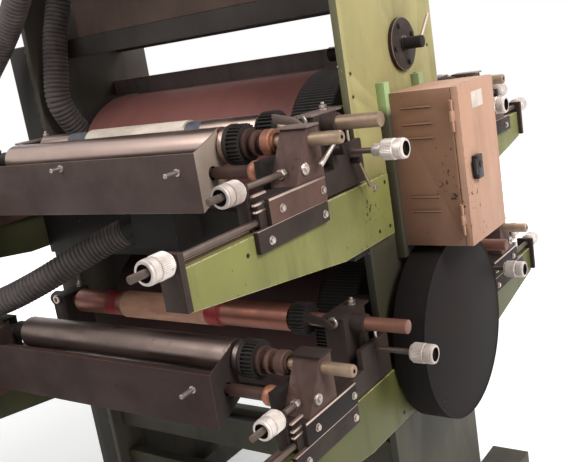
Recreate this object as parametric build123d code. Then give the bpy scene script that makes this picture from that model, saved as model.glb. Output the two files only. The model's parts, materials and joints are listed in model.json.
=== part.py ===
from build123d import *
import math
import os

# Four-colour stack flexographic press: two plate side frames, one large impression
# drum at each of two levels, and a print deck in front of and behind each drum.
# Millimetres. X runs along the rollers with +X towards the operator side, Y runs
# through the machine with the front decks at -Y, and Z is up from the floor.
# The origin is on the floor, midway between the side frames.

# Deck levels: the top of the arms is the way line of each deck
lower_way = 741.0
deck_pitch = 500.0
upper_way = lower_way + deck_pitch
deck_levels = {"upper": upper_way, "lower": lower_way}
drum_rise = 32.0
upper_axis = upper_way + drum_rise
lower_axis = lower_way + drum_rise

# Side frames
frame_gap = 1120.0
frame_thickness = 20.0
frame_depth = 510.0
frame_inner = frame_gap / 2
frame_outer = frame_inner + frame_thickness
frame_front = -frame_depth / 2

# Holes and a slot through the operator-side frame, as Y and height over the upper drum's axis
frame_hole_radius = 5.5
frame_holes = ((-233.0, 231.0), (-234.0, 175.0), (155.0, 270.0), (211.0, 260.0))
frame_slot = (111.0, 181.0)
frame_slot_width = 12.0
frame_slot_height = 28.0

# Base, cross ties, cross beams and the rail over the upper drum
base_height = 80.0
base_width = 130.0
base_length = 1080.0
tie_height = 120.0
tie_thickness = 40.0
tie_low = 160.0
tie_high = 380.0
tie_setback = 60.0
beam_height = 60.0
beam_thickness = 20.0
beam_rise = 388.0
beam_bottom = upper_axis + beam_rise
beam_offset = 130.0
rail_depth = 50.0
rail_height = 52.0
rail_front = 72.0
rail_gap = 1.0

# Impression drums
drum_radius = 240.0
drum_left = -450.0
drum_right = 360.0
drum_journal_radius = 45.0
drum_journal_overhang = 18.0
gear_module = 3.0
drum_teeth = 158
drum_gear_width = 120.0
running_clearance = 0.05
slide_clearance = 0.3
moving_gap = 5.0
cut_margin = 1.0

# Deck arms, drawn for a front deck with Y negative
arm_thickness = 20.0
arm_outer = frame_outer + arm_thickness
arm_tip_depth = 84.0
arm_root_depth = 158.0
arm_root_overlap = 105.0
arm_reach = {"front": 689.0, "back": 579.0}
arm_knee = 146.0
way_width = 32.0
way_depth = 40.0
way_rise = 7.0
way_inner = frame_outer - way_width
gib_thickness = 12.0
gib_outer = arm_outer + gib_thickness
lower_gib_front = -727.0
lower_gib_back = -462.0
upper_gib_front = -676.0
upper_gib_back = -460.0
tip_plate_thickness = 14.0
tip_plate_inner = 556.0
tip_plate_rise = 34.0
tip_plate_drop = 78.0

# Lead screws and knurled knobs
screw_radius = 8.0
screw_clearance = 0.5
lead_screw_line = 588.0
lead_screw_rise = 18.0
lead_screw_back = -560.0
knob_radius = 25.0
knob_length = 62.0
knob_bore_radius = 15.0
knob_recess = 9.0
knob_gap = 3.0
screw_tail = 34.0

# Plate carriage: a saddle on the ways, a bearing block and an outer cheek
saddle_height = 60.0
saddle_front = -700.0
saddle_back = -345.0
end_plate_thickness = 12.0
end_plate_rise = 100.0
block_inner = 496.0
block_outer = frame_inner - moving_gap
block_front = -385.0
block_back = -280.0
block_top = 185.0
collar_radius = 24.0
collar_end = 593.0
cheek_inner = 586.0
cheek_front = -396.0
cheek_back = -262.0
cheek_top = 112.0

# Plate cylinder
plate_axis = -340.0
plate_rise = 162.0
plate_core_radius = 37.0
plate_surface_radius = 41.0
plate_left = -458.0
plate_right = 374.0
plate_patch = (-248.0, 134.0)
plate_teeth = 27
plate_gear_width = 45.0
plate_gear_gap = 8.0
shaft_radius = 17.5
plate_shaft_end = 706.0
plate_shaft_left_end = 606.0

# Side register rod and knob
register_axis = -325.0
register_rise = 90.0
register_rod_radius = 7.0
register_sleeve_radius = 15.0
register_sleeve_start = 668.0
register_knob_start = 700.0
register_knob_end = 752.0
register_knob_radius = 25.0

# Ink unit: the ink carriage with its blocks, trough, anilox and fountain roller.
# On the lower decks it stands further out along the ways.
ink_shift = {"upper": 0.0, "lower": -85.0}
ink_block_inner = 540.0
ink_block_outer = 610.0
ink_block_foot = -570.0
ink_block_brow = -500.0
ink_block_back = -455.0
ink_block_top = 177.0
ear_thickness = 16.0
ear_front = -592.0
ear_back = -470.0
ear_bottom = 5.0
ear_top = 125.0
tie_bar_radius = 8.0
tie_bar_axis = -545.0
tie_bar_rise = 20.0
ink_screw_line = 572.0
ink_screw_rise = 90.0
ink_screw_back = -540.0
anilox_axis = -490.0
anilox_rise = 150.0
anilox_radius = 45.0
anilox_left = -480.0
anilox_right = 365.0
anilox_teeth = 30
anilox_hub_radius = 26.0
anilox_gear_start = 380.0
anilox_gear_width = 60.0
anilox_collar_end = 500.0
anilox_shaft_radius = 15.0
anilox_shaft_end = 690.0
anilox_shaft_left_end = 622.0
fountain_axis = -556.0
fountain_rise = 98.0
fountain_radius = 33.0
fountain_shaft_radius = 11.0
fountain_end_gap = 8.0
fountain_journal_radius = 15.0
fountain_hub_radius = 26.0
fountain_journal_start = 384.0
fountain_hub_start = 424.0
fountain_hub_end = 488.0
trough_left = -490.0
trough_right = 375.0
trough_front = -610.0
trough_back = -510.0
trough_brow = -518.0
trough_lip = 156.0
trough_peak = 191.0
trough_front_bottom = 17.0
trough_back_bottom = 62.0
trough_back_wall = 18.0
trough_sheet = 3.0
trough_foot_width = 20.0
trough_foot_inset = 120.0

# Round cover over the lower drum's drive
cover_radius = frame_depth / 2
cover_back = 606.0
cover_depth = 90.0
cover_post_radius = 14.0
cover_post_offset = 150.0

# Drive guard outside the left frame
guard_depth = 85.0
guard_drop = 280.0
pocket_clearance = 1.0

# Control box
box_back = 604.0
box_body_depth = 166.0
box_front_y = -100.0
box_width = 232.0
box_back_y = box_front_y + box_width
box_drop = 208.0
box_bottom = upper_way - box_drop
box_height = 403.0
box_wall = 2.5
door_gap = 2.0
door_thickness = 18.0
strip_width = 28.0
strip_show = 18.0
strip_inset = 48.0
strip_lines = (box_front_y - strip_show, box_back_y - strip_inset)
strip_overlap = 30.0
latch_size = (16.0, 34.0, 60.0)
latch_inset = 172.0
latch_rise = 193.0
hinge_radius = 5.0
hinge_reach = 6.0
hinge_knuckle = 26.0
hinge_inset = 70.0

# Bearing flange and its lever
flange_y = 46.0
flange_rise = 277.0
flange_z = upper_axis + flange_rise
flange_radius = 70.0
flange_thickness = 12.0
lever_shaft_radius = 20.0
lever_shaft_inner = 360.0
lever_collar_gap = 4.0
lever_hub_radius = 16.0
lever_hub_length = 50.0
lever_length = 95.0
lever_rod_radius = 4.5
lever_setback = 8.0
lever_lean = 45.0

# Drying air: hood, header duct, dryer boxes and flexible hoses
hood_left = -450.0
hood_right = 545.0
hood_height = 168.0
header_gap = 111.0
header_half_length = 585.0
header_front = -420.0
header_back = -60.0
header_height = 120.0
dryer_depth = 75.0
dryer_drop = 51.0
dryer_height = 130.0
dryer_top = upper_way - dryer_drop
dryer_bottom = dryer_top - dryer_height
dryer_end_gap = 0.3
plenum_inner = 460.0
plenum_back = -60.0
inlet_left = -60.0
inlet_right = 100.0
inlet_depth = 105.0
inlet_drop = 11.0
inlet_height = 115.0
inlet_top = upper_way - inlet_drop
inlet_bottom = inlet_top - inlet_height
hose_radius = 40.0
spigot_radius = 45.0
spigot_overlap = 2.0
hose_drop_route = [
    (-505, -105, 1960),
    (-504, -131, 1865),
    (-505, -186, 1738),
    (-506, -214, 1620),
    (-507, -230, 1545),
    (-508, -208, 1487),
    (-508, -160, 1420),
    (-509, -139, 1330),
    (-508, -128, 1225),
]
hose_loop_route = [
    (-330, -372, 1935),
    (-425, -364, 1838),
    (-551, -345, 1744),
    (-704, -345, 1632),
    (-832, -366, 1486),
    (-906, -408, 1314),
    (-902, -466, 1146),
    (-824, -532, 1014),
    (-682, -592, 958),
    (-515, -612, 982),
    (-370, -556, 1036),
    (-262, -474, 1094),
    (-185, -420, 1132),
    (-122, -395, 1155),
]

# Heights that follow from the beams, the hood and the header over them
hood_bottom = beam_bottom + beam_height
frame_top = hood_bottom + hood_height + header_gap
rail_bottom = upper_axis + drum_radius + rail_gap

os.makedirs("parts", exist_ok=True)


def box(x0, x1, y0, y1, z0, z1):
    """A box between two corners."""
    size = (abs(x1 - x0), abs(y1 - y0), abs(z1 - z0))
    return Pos((x0 + x1) / 2, (y0 + y1) / 2, (z0 + z1) / 2) * Box(*size)


def rod_x(x0, x1, radius, y, z):
    """A round bar along X."""
    return Pos((x0 + x1) / 2, y, z) * Rot(0, 90, 0) * Cylinder(radius, abs(x1 - x0))


def rod_y(y0, y1, radius, x, z):
    """A round bar along Y."""
    return Pos(x, (y0 + y1) / 2, z) * Rot(90, 0, 0) * Cylinder(radius, abs(y1 - y0))


def rod_z(z0, z1, radius, x, y):
    """A round bar along Z."""
    return Pos(x, y, (z0 + z1) / 2) * Cylinder(radius, abs(z1 - z0))


def bore_x(x0, x1, radius, y, z):
    """The cutter for a round hole along X that passes both faces."""
    return rod_x(x0 - cut_margin, x1 + cut_margin, radius, y, z)


def bore_y(y0, y1, radius, x, z):
    """The cutter for a round hole along Y that passes both faces."""
    return rod_y(y0 - cut_margin, y1 + cut_margin, radius, x, z)


def gear_x(x0, x1, teeth, y, z):
    """A spur gear along X with straight-sided teeth."""
    pitch_radius = gear_module * teeth / 2
    tip = pitch_radius + gear_module
    root = pitch_radius - 1.25 * gear_module
    step = 2 * math.pi / teeth
    corners = []
    for i in range(teeth):
        for radius, share in ((root, -0.31), (tip, -0.13), (tip, 0.13), (root, 0.31)):
            angle = (i + share) * step
            corners.append((radius * math.cos(angle), radius * math.sin(angle)))
    outline = make_face(Polyline(*corners, close=True))
    return Pos(x0, y, z) * Rot(0, 90, 0) * extrude(outline, x1 - x0)


def save(name, *solids):
    """Write one node, with solids that don't touch or one joined solid."""
    shape = solids[0] if len(solids) == 1 else Compound(children=list(solids))
    export_step(shape, os.path.join("parts", name + ".step"))


def place(shape, side, way):
    """Move a front-deck shape to its level, and mirror it for a back deck."""
    moved = Pos(0, 0, way) * shape
    return moved if side == "front" else mirror(moved, about=Plane.XZ)


def spigot(end, inward, normal, face):
    """A round spigot in line with a hose's end, just long enough to enter a duct's face."""
    outward = (Vector(*end) - Vector(*inward)).normalized()
    squareness = outward.dot(normal)
    distance = (face - Vector(*end).dot(normal)) / squareness
    lean = spigot_radius * math.sqrt(1 - squareness ** 2) / squareness
    disc = Plane(origin=end, z_dir=outward) * Circle(spigot_radius)
    return extrude(disc, distance + lean + spigot_overlap)


def left_right(shape, hand):
    """Keep a right-hand shape, or mirror it to the left."""
    return shape if hand > 0 else mirror(shape, about=Plane.YZ)


def across(x):
    """A drawing plane square to X, whose own axes are Y and Z."""
    return Plane(origin=(x, 0, 0), x_dir=(0, 1, 0), z_dir=(1, 0, 0))


# Side frames with bores for the drum journals and the lever shaft
def side_frame(hand):
    plate = box(frame_inner, frame_outer, frame_front, -frame_front, base_height, frame_top)
    for way in deck_levels.values():
        bore = drum_journal_radius + running_clearance
        plate -= bore_x(frame_inner, frame_outer, bore, 0, way + drum_rise)
    if hand > 0:
        bore = lever_shaft_radius + running_clearance
        plate -= bore_x(frame_inner, frame_outer, bore, flange_y, flange_z)
        for y, rise in frame_holes:
            plate -= bore_x(frame_inner, frame_outer, frame_hole_radius, y, upper_axis + rise)
        slot_y, slot_rise = frame_slot
        cutter = Box(frame_thickness + 2 * cut_margin, frame_slot_width, frame_slot_height)
        plate -= Pos(frame_inner + frame_thickness / 2, slot_y, upper_axis + slot_rise) * cutter
    return left_right(plate, hand)


save("side_frame_right", side_frame(1))
save("side_frame_left", side_frame(-1))

# Base rails under the frames, and the sill between them
half_base = base_width / 2
base_line = frame_outer - frame_thickness / 2
foot_rails = []
for hand in (1, -1):
    x = hand * base_line
    foot_rails.append(box(x - half_base, x + half_base, -base_length / 2, base_length / 2, 0, base_height))
save("base_rails", *foot_rails)
sill_end = base_line - half_base
save("base_sill", box(-sill_end, sill_end, -half_base, half_base, 0, base_height))

# Lower cross ties, front and back
ties = []
for level in (tie_low, tie_high):
    for sign in (-1, 1):
        y = sign * (-frame_front - tie_setback)
        ties.append(box(-frame_inner, frame_inner, y - tie_thickness / 2, y + tie_thickness / 2,
                        level, level + tie_height))
save("cross_ties", *ties)

# Upper cross beams, and the rail over the upper drum
beams = []
for sign in (-1, 1):
    y = sign * beam_offset
    beams.append(box(-frame_inner, frame_inner, y - beam_thickness / 2, y + beam_thickness / 2,
                     beam_bottom, beam_bottom + beam_height))
save("upper_beams", *beams)
save("drum_rail", box(-frame_inner, frame_inner, rail_front, rail_front + rail_depth,
                      rail_bottom, rail_bottom + rail_height))

# Impression drums with their journals and toothed rims
journal_end = frame_outer + drum_journal_overhang
drum_gear_end = drum_right + drum_gear_width
for level, way in deck_levels.items():
    z = way + drum_rise
    drum = rod_x(drum_left, drum_right, drum_radius, 0, z)
    drum += rod_x(-journal_end, journal_end, drum_journal_radius, 0, z)
    save("drum_" + level, drum)
    rim = gear_x(drum_right, drum_gear_end, drum_teeth, 0, z)
    rim -= bore_x(drum_right, drum_gear_end, drum_journal_radius, 0, z)
    save("drum_gear_" + level, rim)


def arm_plate(side):
    """A deck arm: a deep root on the frame's outer face and a tapering nose."""
    tip = frame_front - arm_reach[side]
    knee = frame_front - arm_knee
    root = frame_front + arm_root_overlap
    outline = Polyline((tip, 0), (root, 0), (root, -arm_root_depth), (knee, -arm_root_depth),
                       (tip, -arm_tip_depth), close=True)
    return extrude(across(frame_outer) * make_face(outline), arm_thickness)


def arm_ways(side):
    """The slideway bar inside an arm, and the lower gib on its outer face."""
    tip = frame_front - arm_reach[side]
    bar = box(way_inner, frame_outer, tip, frame_front - slide_clearance, -way_depth, way_rise)
    gib = box(arm_outer, gib_outer, lower_gib_front, lower_gib_back, -way_depth, way_rise)
    return [bar, gib]


def tip_plate(side):
    """The plate across an arm's tip that carries the lead screw."""
    tip = frame_front - arm_reach[side]
    outer_face = tip - tip_plate_thickness
    plate = box(tip_plate_inner, gib_outer, outer_face, tip, -tip_plate_drop, tip_plate_rise)
    plate -= bore_y(outer_face, tip, screw_radius + running_clearance,
                   lead_screw_line, lead_screw_rise)
    return plate


tip_plates = []
for level, way in deck_levels.items():
    plates = []
    ways = []
    for side in ("front", "back"):
        for hand in (1, -1):
            plates.append(place(left_right(arm_plate(side), hand), side, way))
            ways += [place(left_right(piece, hand), side, way) for piece in arm_ways(side)]
            tip_plates.append(place(left_right(tip_plate(side), hand), side, way))
    save("arms_" + level, *plates)
    save("slideways_" + level, *ways)
save("tip_plates", *tip_plates)


def knob_y(y, back, x, z):
    """A screw with a hollow-nosed knurled knob whose back face is at y, pointing to -Y."""
    body = rod_y(y - knob_length, y, knob_radius, x, z)
    body -= rod_y(y - knob_length - cut_margin, y - knob_length + knob_recess, knob_bore_radius, x, z)
    return body + rod_y(y - knob_length - screw_tail, back, screw_radius, x, z)


# Long lead screws from the arm tips into the plate carriages
screws = []
for way in deck_levels.values():
    for side in ("front", "back"):
        tip = frame_front - arm_reach[side] - tip_plate_thickness
        for hand in (1, -1):
            screw = knob_y(tip - knob_gap, lead_screw_back, lead_screw_line, lead_screw_rise)
            screws.append(place(left_right(screw, hand), side, way))
save("lead_screws", *screws)


def plate_carriage(hand):
    """A saddle on the ways with its upper gib, bearing block, collar and outer cheek."""
    base = way_rise + slide_clearance
    top = way_rise + saddle_height - moving_gap
    body = box(way_inner, arm_outer, saddle_front, saddle_back, base, top)
    body += box(arm_outer, gib_outer, upper_gib_front, upper_gib_back, base, top)
    body += box(block_inner, block_outer, block_front, block_back, base, block_top)
    body += box(tip_plate_inner, gib_outer, saddle_front - end_plate_thickness, saddle_front,
                base, end_plate_rise)
    body += rod_x(block_outer, collar_end, collar_radius, plate_axis, plate_rise)
    if hand > 0:
        body += box(cheek_inner, arm_outer, cheek_front, cheek_back, base, cheek_top)
    body -= bore_x(block_inner, collar_end, shaft_radius + running_clearance,
                  plate_axis, plate_rise)
    front = saddle_front - end_plate_thickness
    screw_bore = screw_radius + screw_clearance
    body -= bore_y(front, saddle_back, screw_bore, lead_screw_line, lead_screw_rise)
    body -= bore_y(front, saddle_front, screw_radius + running_clearance, ink_screw_line, ink_screw_rise)
    return left_right(body, hand)


def plate_cylinder():
    """The plate cylinder with a mounted plate, its gear and both journals."""
    body = rod_x(plate_left, plate_right, plate_core_radius, plate_axis, plate_rise)
    body += rod_x(plate_patch[0], plate_patch[1], plate_surface_radius, plate_axis, plate_rise)
    body += rod_x(-plate_shaft_left_end, plate_shaft_end, shaft_radius, plate_axis, plate_rise)
    gear_left = plate_right + plate_gear_gap
    body += gear_x(gear_left, gear_left + plate_gear_width, plate_teeth, plate_axis, plate_rise)
    return body


def deck_knobs():
    """The ink screws of both sides and the side register knob of the operator side."""
    pieces = []
    front = saddle_front - end_plate_thickness - knob_gap
    for hand in (1, -1):
        screw = knob_y(front, ink_screw_back, ink_screw_line, ink_screw_rise)
        pieces.append(left_right(screw, hand))
    y, z = register_axis, register_rise
    register = rod_x(arm_outer, register_sleeve_start, register_rod_radius, y, z)
    register += rod_x(register_sleeve_start, register_knob_start, register_sleeve_radius, y, z)
    register += rod_x(register_knob_start, register_knob_end, register_knob_radius, y, z)
    register -= rod_x(register_knob_end - knob_recess, register_knob_end + cut_margin,
                      knob_bore_radius, y, z)
    pieces.append(register)
    return pieces


def ink_carriage():
    """Both ink blocks with their bearing ears, joined by the bar that carries the trough."""
    ear_inner = ink_block_inner - ear_thickness
    joined = rod_x(-ear_inner, ear_inner, tie_bar_radius, tie_bar_axis, tie_bar_rise)
    foot = way_rise + saddle_height - moving_gap + slide_clearance
    profile = Polyline((ink_block_foot, foot), (ink_block_brow, ink_block_top),
                       (ink_block_back, ink_block_top), (ink_block_back, foot), close=True)
    for hand in (1, -1):
        block = extrude(across(ink_block_inner) * make_face(profile), ink_block_outer - ink_block_inner)
        block += box(ear_inner, ink_block_inner, ear_front, ear_back, ear_bottom, ear_top)
        block -= bore_x(ear_inner, ink_block_outer, anilox_shaft_radius + running_clearance,
                       anilox_axis, anilox_rise)
        block -= rod_x(ear_inner - cut_margin, ink_block_inner, fountain_shaft_radius + running_clearance,
                       fountain_axis, fountain_rise)
        block -= bore_y(ink_block_foot, ink_block_back, screw_radius + screw_clearance,
                       ink_screw_line, ink_screw_rise)
        joined += left_right(block, hand)
    return joined


def ink_trough():
    """A sheet trough with raised cheeks, and two feet on the tie bar."""
    outer = Polyline((trough_front, trough_front_bottom), (trough_front, trough_lip),
                     (trough_brow, trough_peak), (trough_back, trough_back_bottom), close=True)
    tray = extrude(across(trough_left) * make_face(outer), trough_right - trough_left)
    slope = (trough_back_bottom - trough_front_bottom) / (trough_back - trough_front)
    lean = (trough_peak - trough_back_bottom) / (trough_back - trough_brow)
    above = trough_peak - trough_back_bottom + cut_margin
    floor_front = trough_front_bottom + trough_sheet + slope * trough_sheet
    floor_back = trough_back_bottom + trough_sheet - slope * trough_sheet
    inner = Polyline((trough_front + trough_sheet, floor_front),
                     (trough_front + trough_sheet, trough_back_bottom + above),
                     (trough_back - trough_sheet - above / lean, trough_back_bottom + above),
                     (trough_back - trough_sheet, floor_back), close=True)
    length = trough_right - trough_left - 2 * trough_sheet
    tray -= extrude(across(trough_left + trough_sheet) * make_face(inner), length)
    mouth = (trough_left + trough_sheet, trough_right - trough_sheet)
    tray -= box(*mouth, trough_front - cut_margin, trough_brow, trough_lip, trough_peak + cut_margin)
    wall_top = trough_back_bottom + trough_back_wall
    tray -= box(*mouth, trough_brow - trough_sheet - cut_margin, trough_back + cut_margin,
                wall_top, trough_peak + cut_margin)
    tray -= bore_x(trough_left, trough_right, fountain_shaft_radius + moving_gap,
                  fountain_axis, fountain_rise)
    foot_floor = trough_front_bottom + slope * (tie_bar_axis - trough_front)
    foot_half = trough_foot_width / 2
    for x in (trough_left + trough_foot_inset, trough_right - trough_foot_inset):
        foot = box(x - foot_half, x + foot_half, tie_bar_axis - foot_half, tie_bar_axis + foot_half,
                   tie_bar_rise, foot_floor)
        foot -= bore_x(x - foot_half, x + foot_half, tie_bar_radius + running_clearance,
                      tie_bar_axis, tie_bar_rise)
        tray += foot
    return tray


def anilox():
    """The engraved steel roller with its gear, stepped hub and journals."""
    body = rod_x(anilox_left, anilox_right, anilox_radius, anilox_axis, anilox_rise)
    gear_end = anilox_gear_start + anilox_gear_width
    body += gear_x(anilox_gear_start, gear_end, anilox_teeth, anilox_axis, anilox_rise)
    body += rod_x(gear_end, anilox_collar_end, anilox_hub_radius, anilox_axis, anilox_rise)
    body += rod_x(-anilox_shaft_left_end, anilox_shaft_end, anilox_shaft_radius, anilox_axis, anilox_rise)
    return body


def fountain_roller():
    """The rubber roller that turns in the trough."""
    inset = trough_sheet + fountain_end_gap
    body = rod_x(trough_left + inset, trough_right - inset, fountain_radius, fountain_axis, fountain_rise)
    y, z = fountain_axis, fountain_rise
    body += rod_x(-ink_block_inner, ink_block_inner, fountain_shaft_radius, y, z)
    body += rod_x(fountain_journal_start, fountain_hub_start, fountain_journal_radius, y, z)
    body += rod_x(fountain_hub_start, fountain_hub_end, fountain_hub_radius, y, z)
    return body


for side in ("front", "back"):
    for level, way in deck_levels.items():
        tag = "_" + side + "_" + level
        shift = Pos(0, ink_shift[level], 0)
        save("plate_carriage" + tag, *[place(plate_carriage(hand), side, way) for hand in (1, -1)])
        save("plate_cylinder" + tag, place(plate_cylinder(), side, way))
        save("deck_knobs" + tag, *[place(piece, side, way) for piece in deck_knobs()])
        save("ink_carriage" + tag, place(shift * ink_carriage(), side, way))
        save("ink_trough" + tag, place(shift * ink_trough(), side, way))
        save("anilox" + tag, place(shift * anilox(), side, way))
        save("fountain_roller" + tag, place(shift * fountain_roller(), side, way))

# Round cover over the lower drum's drive, on posts from the frame
cover = rod_x(cover_back, cover_back + cover_depth, cover_radius, 0, lower_axis)
for dz in (cover_post_offset, -cover_post_offset):
    cover += rod_x(frame_outer, cover_back, cover_post_radius, 0, lower_axis + dz)
save("drum_cover", cover)

# Drive guard outside the left frame, cut round the base, the arms and the drum journals
guard_top = frame_top - guard_drop
guard = box(-frame_outer - guard_depth, -frame_outer, frame_front, -frame_front, 0, guard_top)
pocket_inner = -frame_outer + cut_margin
pocket_end = -frame_front + cut_margin
guard -= box(-base_line - half_base, pocket_inner, -pocket_end, pocket_end,
             -cut_margin, base_height + pocket_clearance)
for way in deck_levels.values():
    for sign in (-1, 1):
        root = sign * (-frame_front - arm_root_overlap - pocket_clearance)
        guard -= box(-arm_outer - pocket_clearance, pocket_inner, root, sign * pocket_end,
                     way - arm_root_depth - pocket_clearance, way + pocket_clearance)
    guard -= rod_x(-journal_end - moving_gap, pocket_inner, drum_journal_radius + moving_gap,
                   0, way + drum_rise)
save("drive_guard", guard)

# Control box on two strips, with a hinged door
box_front = box_back + box_body_depth
box_top = box_bottom + box_height
hinge_x = box_front + door_gap / 2
hinge_y = box_front_y - hinge_reach
cabinet = box(box_back, box_front, box_front_y, box_back_y, box_bottom, box_top)
cabinet -= box(box_back + box_wall, box_front + cut_margin, box_front_y + box_wall, box_back_y - box_wall,
               box_bottom + box_wall, box_top - box_wall)
door_inner = box_front + door_gap
door = box(door_inner, door_inner + door_thickness, box_front_y, box_back_y, box_bottom, box_top)
for middle in (box_bottom + hinge_inset, box_top - hinge_inset):
    low = middle - hinge_knuckle / 2
    high = middle + hinge_knuckle / 2
    door += rod_z(low, high, hinge_radius, hinge_x, hinge_y)
    door += box(door_inner, door_inner + hinge_radius, hinge_y, box_front_y, low, high)
    for end in (low - slide_clearance - hinge_knuckle, high + slide_clearance):
        cabinet += rod_z(end, end + hinge_knuckle, hinge_radius, hinge_x, hinge_y)
        cabinet += box(box_front - hinge_radius, box_front, hinge_y, box_front_y, end, end + hinge_knuckle)
save("control_box", cabinet)
save("box_door", door)
strips = []
for y in strip_lines:
    strips.append(box(frame_outer, box_back, y, y + strip_width, box_bottom - strip_overlap,
                      box_top + strip_overlap))
save("box_strips", *strips)
latch_depth, latch_width, latch_height = latch_size
latch_base = door_inner + door_thickness
latch_y = box_back_y - latch_inset
latch_z = box_bottom + latch_rise
save("door_latch", box(latch_base, latch_base + latch_depth, latch_y - latch_width / 2,
                       latch_y + latch_width / 2, latch_z - latch_height / 2, latch_z + latch_height / 2))

# Bearing flange, and the lever on its through shaft
flange_face = frame_outer + flange_thickness
flange = rod_x(frame_outer, flange_face, flange_radius, flange_y, flange_z)
flange -= bore_x(frame_outer, flange_face, lever_shaft_radius + running_clearance,
                flange_y, flange_z)
save("bearing_flange", flange)
hub_start = flange_face + lever_collar_gap
hub_end = hub_start + lever_hub_length
lever = rod_x(lever_shaft_inner, hub_start, lever_shaft_radius, flange_y, flange_z)
lever += rod_x(hub_start, hub_end, lever_hub_radius, flange_y, flange_z)
arm = Pos(0, 0, lever_length / 2) * Cylinder(lever_rod_radius, lever_length)
lever += Pos(hub_end - lever_setback, flange_y, flange_z) * Rot(-lever_lean, 0, 0) * arm
save("throw_lever", lever)

# Dryer hood over the beams, and the header duct on the frame tops
hood_half = beam_offset + beam_thickness / 2
save("dryer_hood", box(hood_left, hood_right, -hood_half, hood_half, hood_bottom, hood_bottom + hood_height))
header = box(-header_half_length, header_half_length, header_front, header_back,
             frame_top, frame_top + header_height)
for route in (hose_drop_route, hose_loop_route):
    header += spigot(route[0], route[1], Vector(0, 0, 1), frame_top)
save("air_header", header)

# Dryer boxes across the frames, between the decks
front_face = frame_front - dryer_depth
dryer_end = frame_outer - dryer_end_gap
front_dryer = box(-dryer_end, dryer_end, front_face, frame_front, dryer_bottom, dryer_top)
front_dryer += box(-frame_inner + dryer_end_gap, -plenum_inner, frame_front, plenum_back,
                   dryer_bottom, dryer_top)
front_dryer += box(inlet_left, inlet_right, front_face - inlet_depth, front_face, inlet_bottom, inlet_top)
front_dryer += spigot(hose_drop_route[-1], hose_drop_route[-2], Vector(0, 0, -1), -dryer_top)
front_dryer += spigot(hose_loop_route[-1], hose_loop_route[-2], Vector(1, 0, 0), inlet_left)
back_dryer = box(-dryer_end, dryer_end, -frame_front, -front_face, dryer_bottom, dryer_top)
save("dryer_boxes", front_dryer, back_dryer)


def hose(route, label):
    """A hose along straight runs joined by tangent arcs."""
    points = [Vector(*point) for point in route]
    runs = [b - a for a, b in zip(points, points[1:])]
    radii = []
    for first, second in zip(runs, runs[1:]):
        turn = math.radians(first.get_angle(second))
        radii.append(0.45 * min(first.length, second.length) / math.tan(turn / 2))
    print(label, "radii", [round(radius) for radius in radii])
    path = FilletPolyline(*points, radius=radii)
    start = Plane(origin=points[0], z_dir=runs[0])
    tube = sweep(start * Circle(hose_radius), path=path)
    length = sum(edge.length for edge in path.edges())
    print(label, "length", round(length), "volume ratio",
          round(tube.volume / (math.pi * hose_radius ** 2 * length), 5))
    return tube


save("hose_drop", hose(hose_drop_route, "hose_drop"))
save("hose_loop", hose(hose_loop_route, "hose_loop"))
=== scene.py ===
"""Looks of a stack flexographic press.

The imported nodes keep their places. Each one gets a worn finish, most of them through a copy with
softened edges, and the fittings that the solids leave out are modelled here: knurled knobs, screws,
bolts, straps, louvres, tapes and corrugated hoses. Lengths are metres in the frame of the CAD model:
+X to the operator side, front decks at -Y, +Z up from the floor.
"""

import json
import logging
import math
from dataclasses import dataclass, replace
from enum import Enum
from typing import Callable, Iterable, Sequence

import bmesh
import bpy
from mathutils import Matrix, Vector


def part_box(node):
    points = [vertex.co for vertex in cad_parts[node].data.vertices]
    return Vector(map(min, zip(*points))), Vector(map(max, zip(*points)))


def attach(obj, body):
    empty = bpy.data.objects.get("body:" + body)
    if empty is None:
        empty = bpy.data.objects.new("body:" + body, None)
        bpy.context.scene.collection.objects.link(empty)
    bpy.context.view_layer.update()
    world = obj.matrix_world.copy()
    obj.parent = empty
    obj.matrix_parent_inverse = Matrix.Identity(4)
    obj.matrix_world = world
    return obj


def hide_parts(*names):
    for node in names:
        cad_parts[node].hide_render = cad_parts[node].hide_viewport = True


LOG = logging.getLogger("press")
Colour = tuple[float, float, float]
Point = tuple[float, float, float]
Pairs = Sequence[tuple[float, float]]
Rule = Callable[[Vector, Vector, int], int]
Trim = Callable[[bmesh.types.BMesh], None]
SHARP_ANGLE = math.radians(38)
FLAT_ANGLE = math.radians(0.6)
MERGE_DISTANCE = 1e-5
FACE_SLACK = 0.001
THREAD_PITCH = 0.0025
BORDER_FRAY = 0.06
EDGE_WEAR = 2.6

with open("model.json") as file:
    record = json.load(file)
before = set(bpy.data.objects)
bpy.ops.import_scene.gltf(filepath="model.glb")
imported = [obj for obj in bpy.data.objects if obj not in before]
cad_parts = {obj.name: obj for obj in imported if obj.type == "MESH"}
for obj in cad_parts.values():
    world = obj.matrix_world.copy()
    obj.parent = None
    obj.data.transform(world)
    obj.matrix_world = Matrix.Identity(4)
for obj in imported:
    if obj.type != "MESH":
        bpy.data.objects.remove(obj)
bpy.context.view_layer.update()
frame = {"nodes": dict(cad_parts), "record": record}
BODY_OF = {node: body for body, nodes in frame["record"]["behaviour"]["bodies"].items() for node in nodes}
HANDS = (Matrix.Identity(4), Matrix.Scale(-1, 4, (1, 0, 0)))


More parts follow.
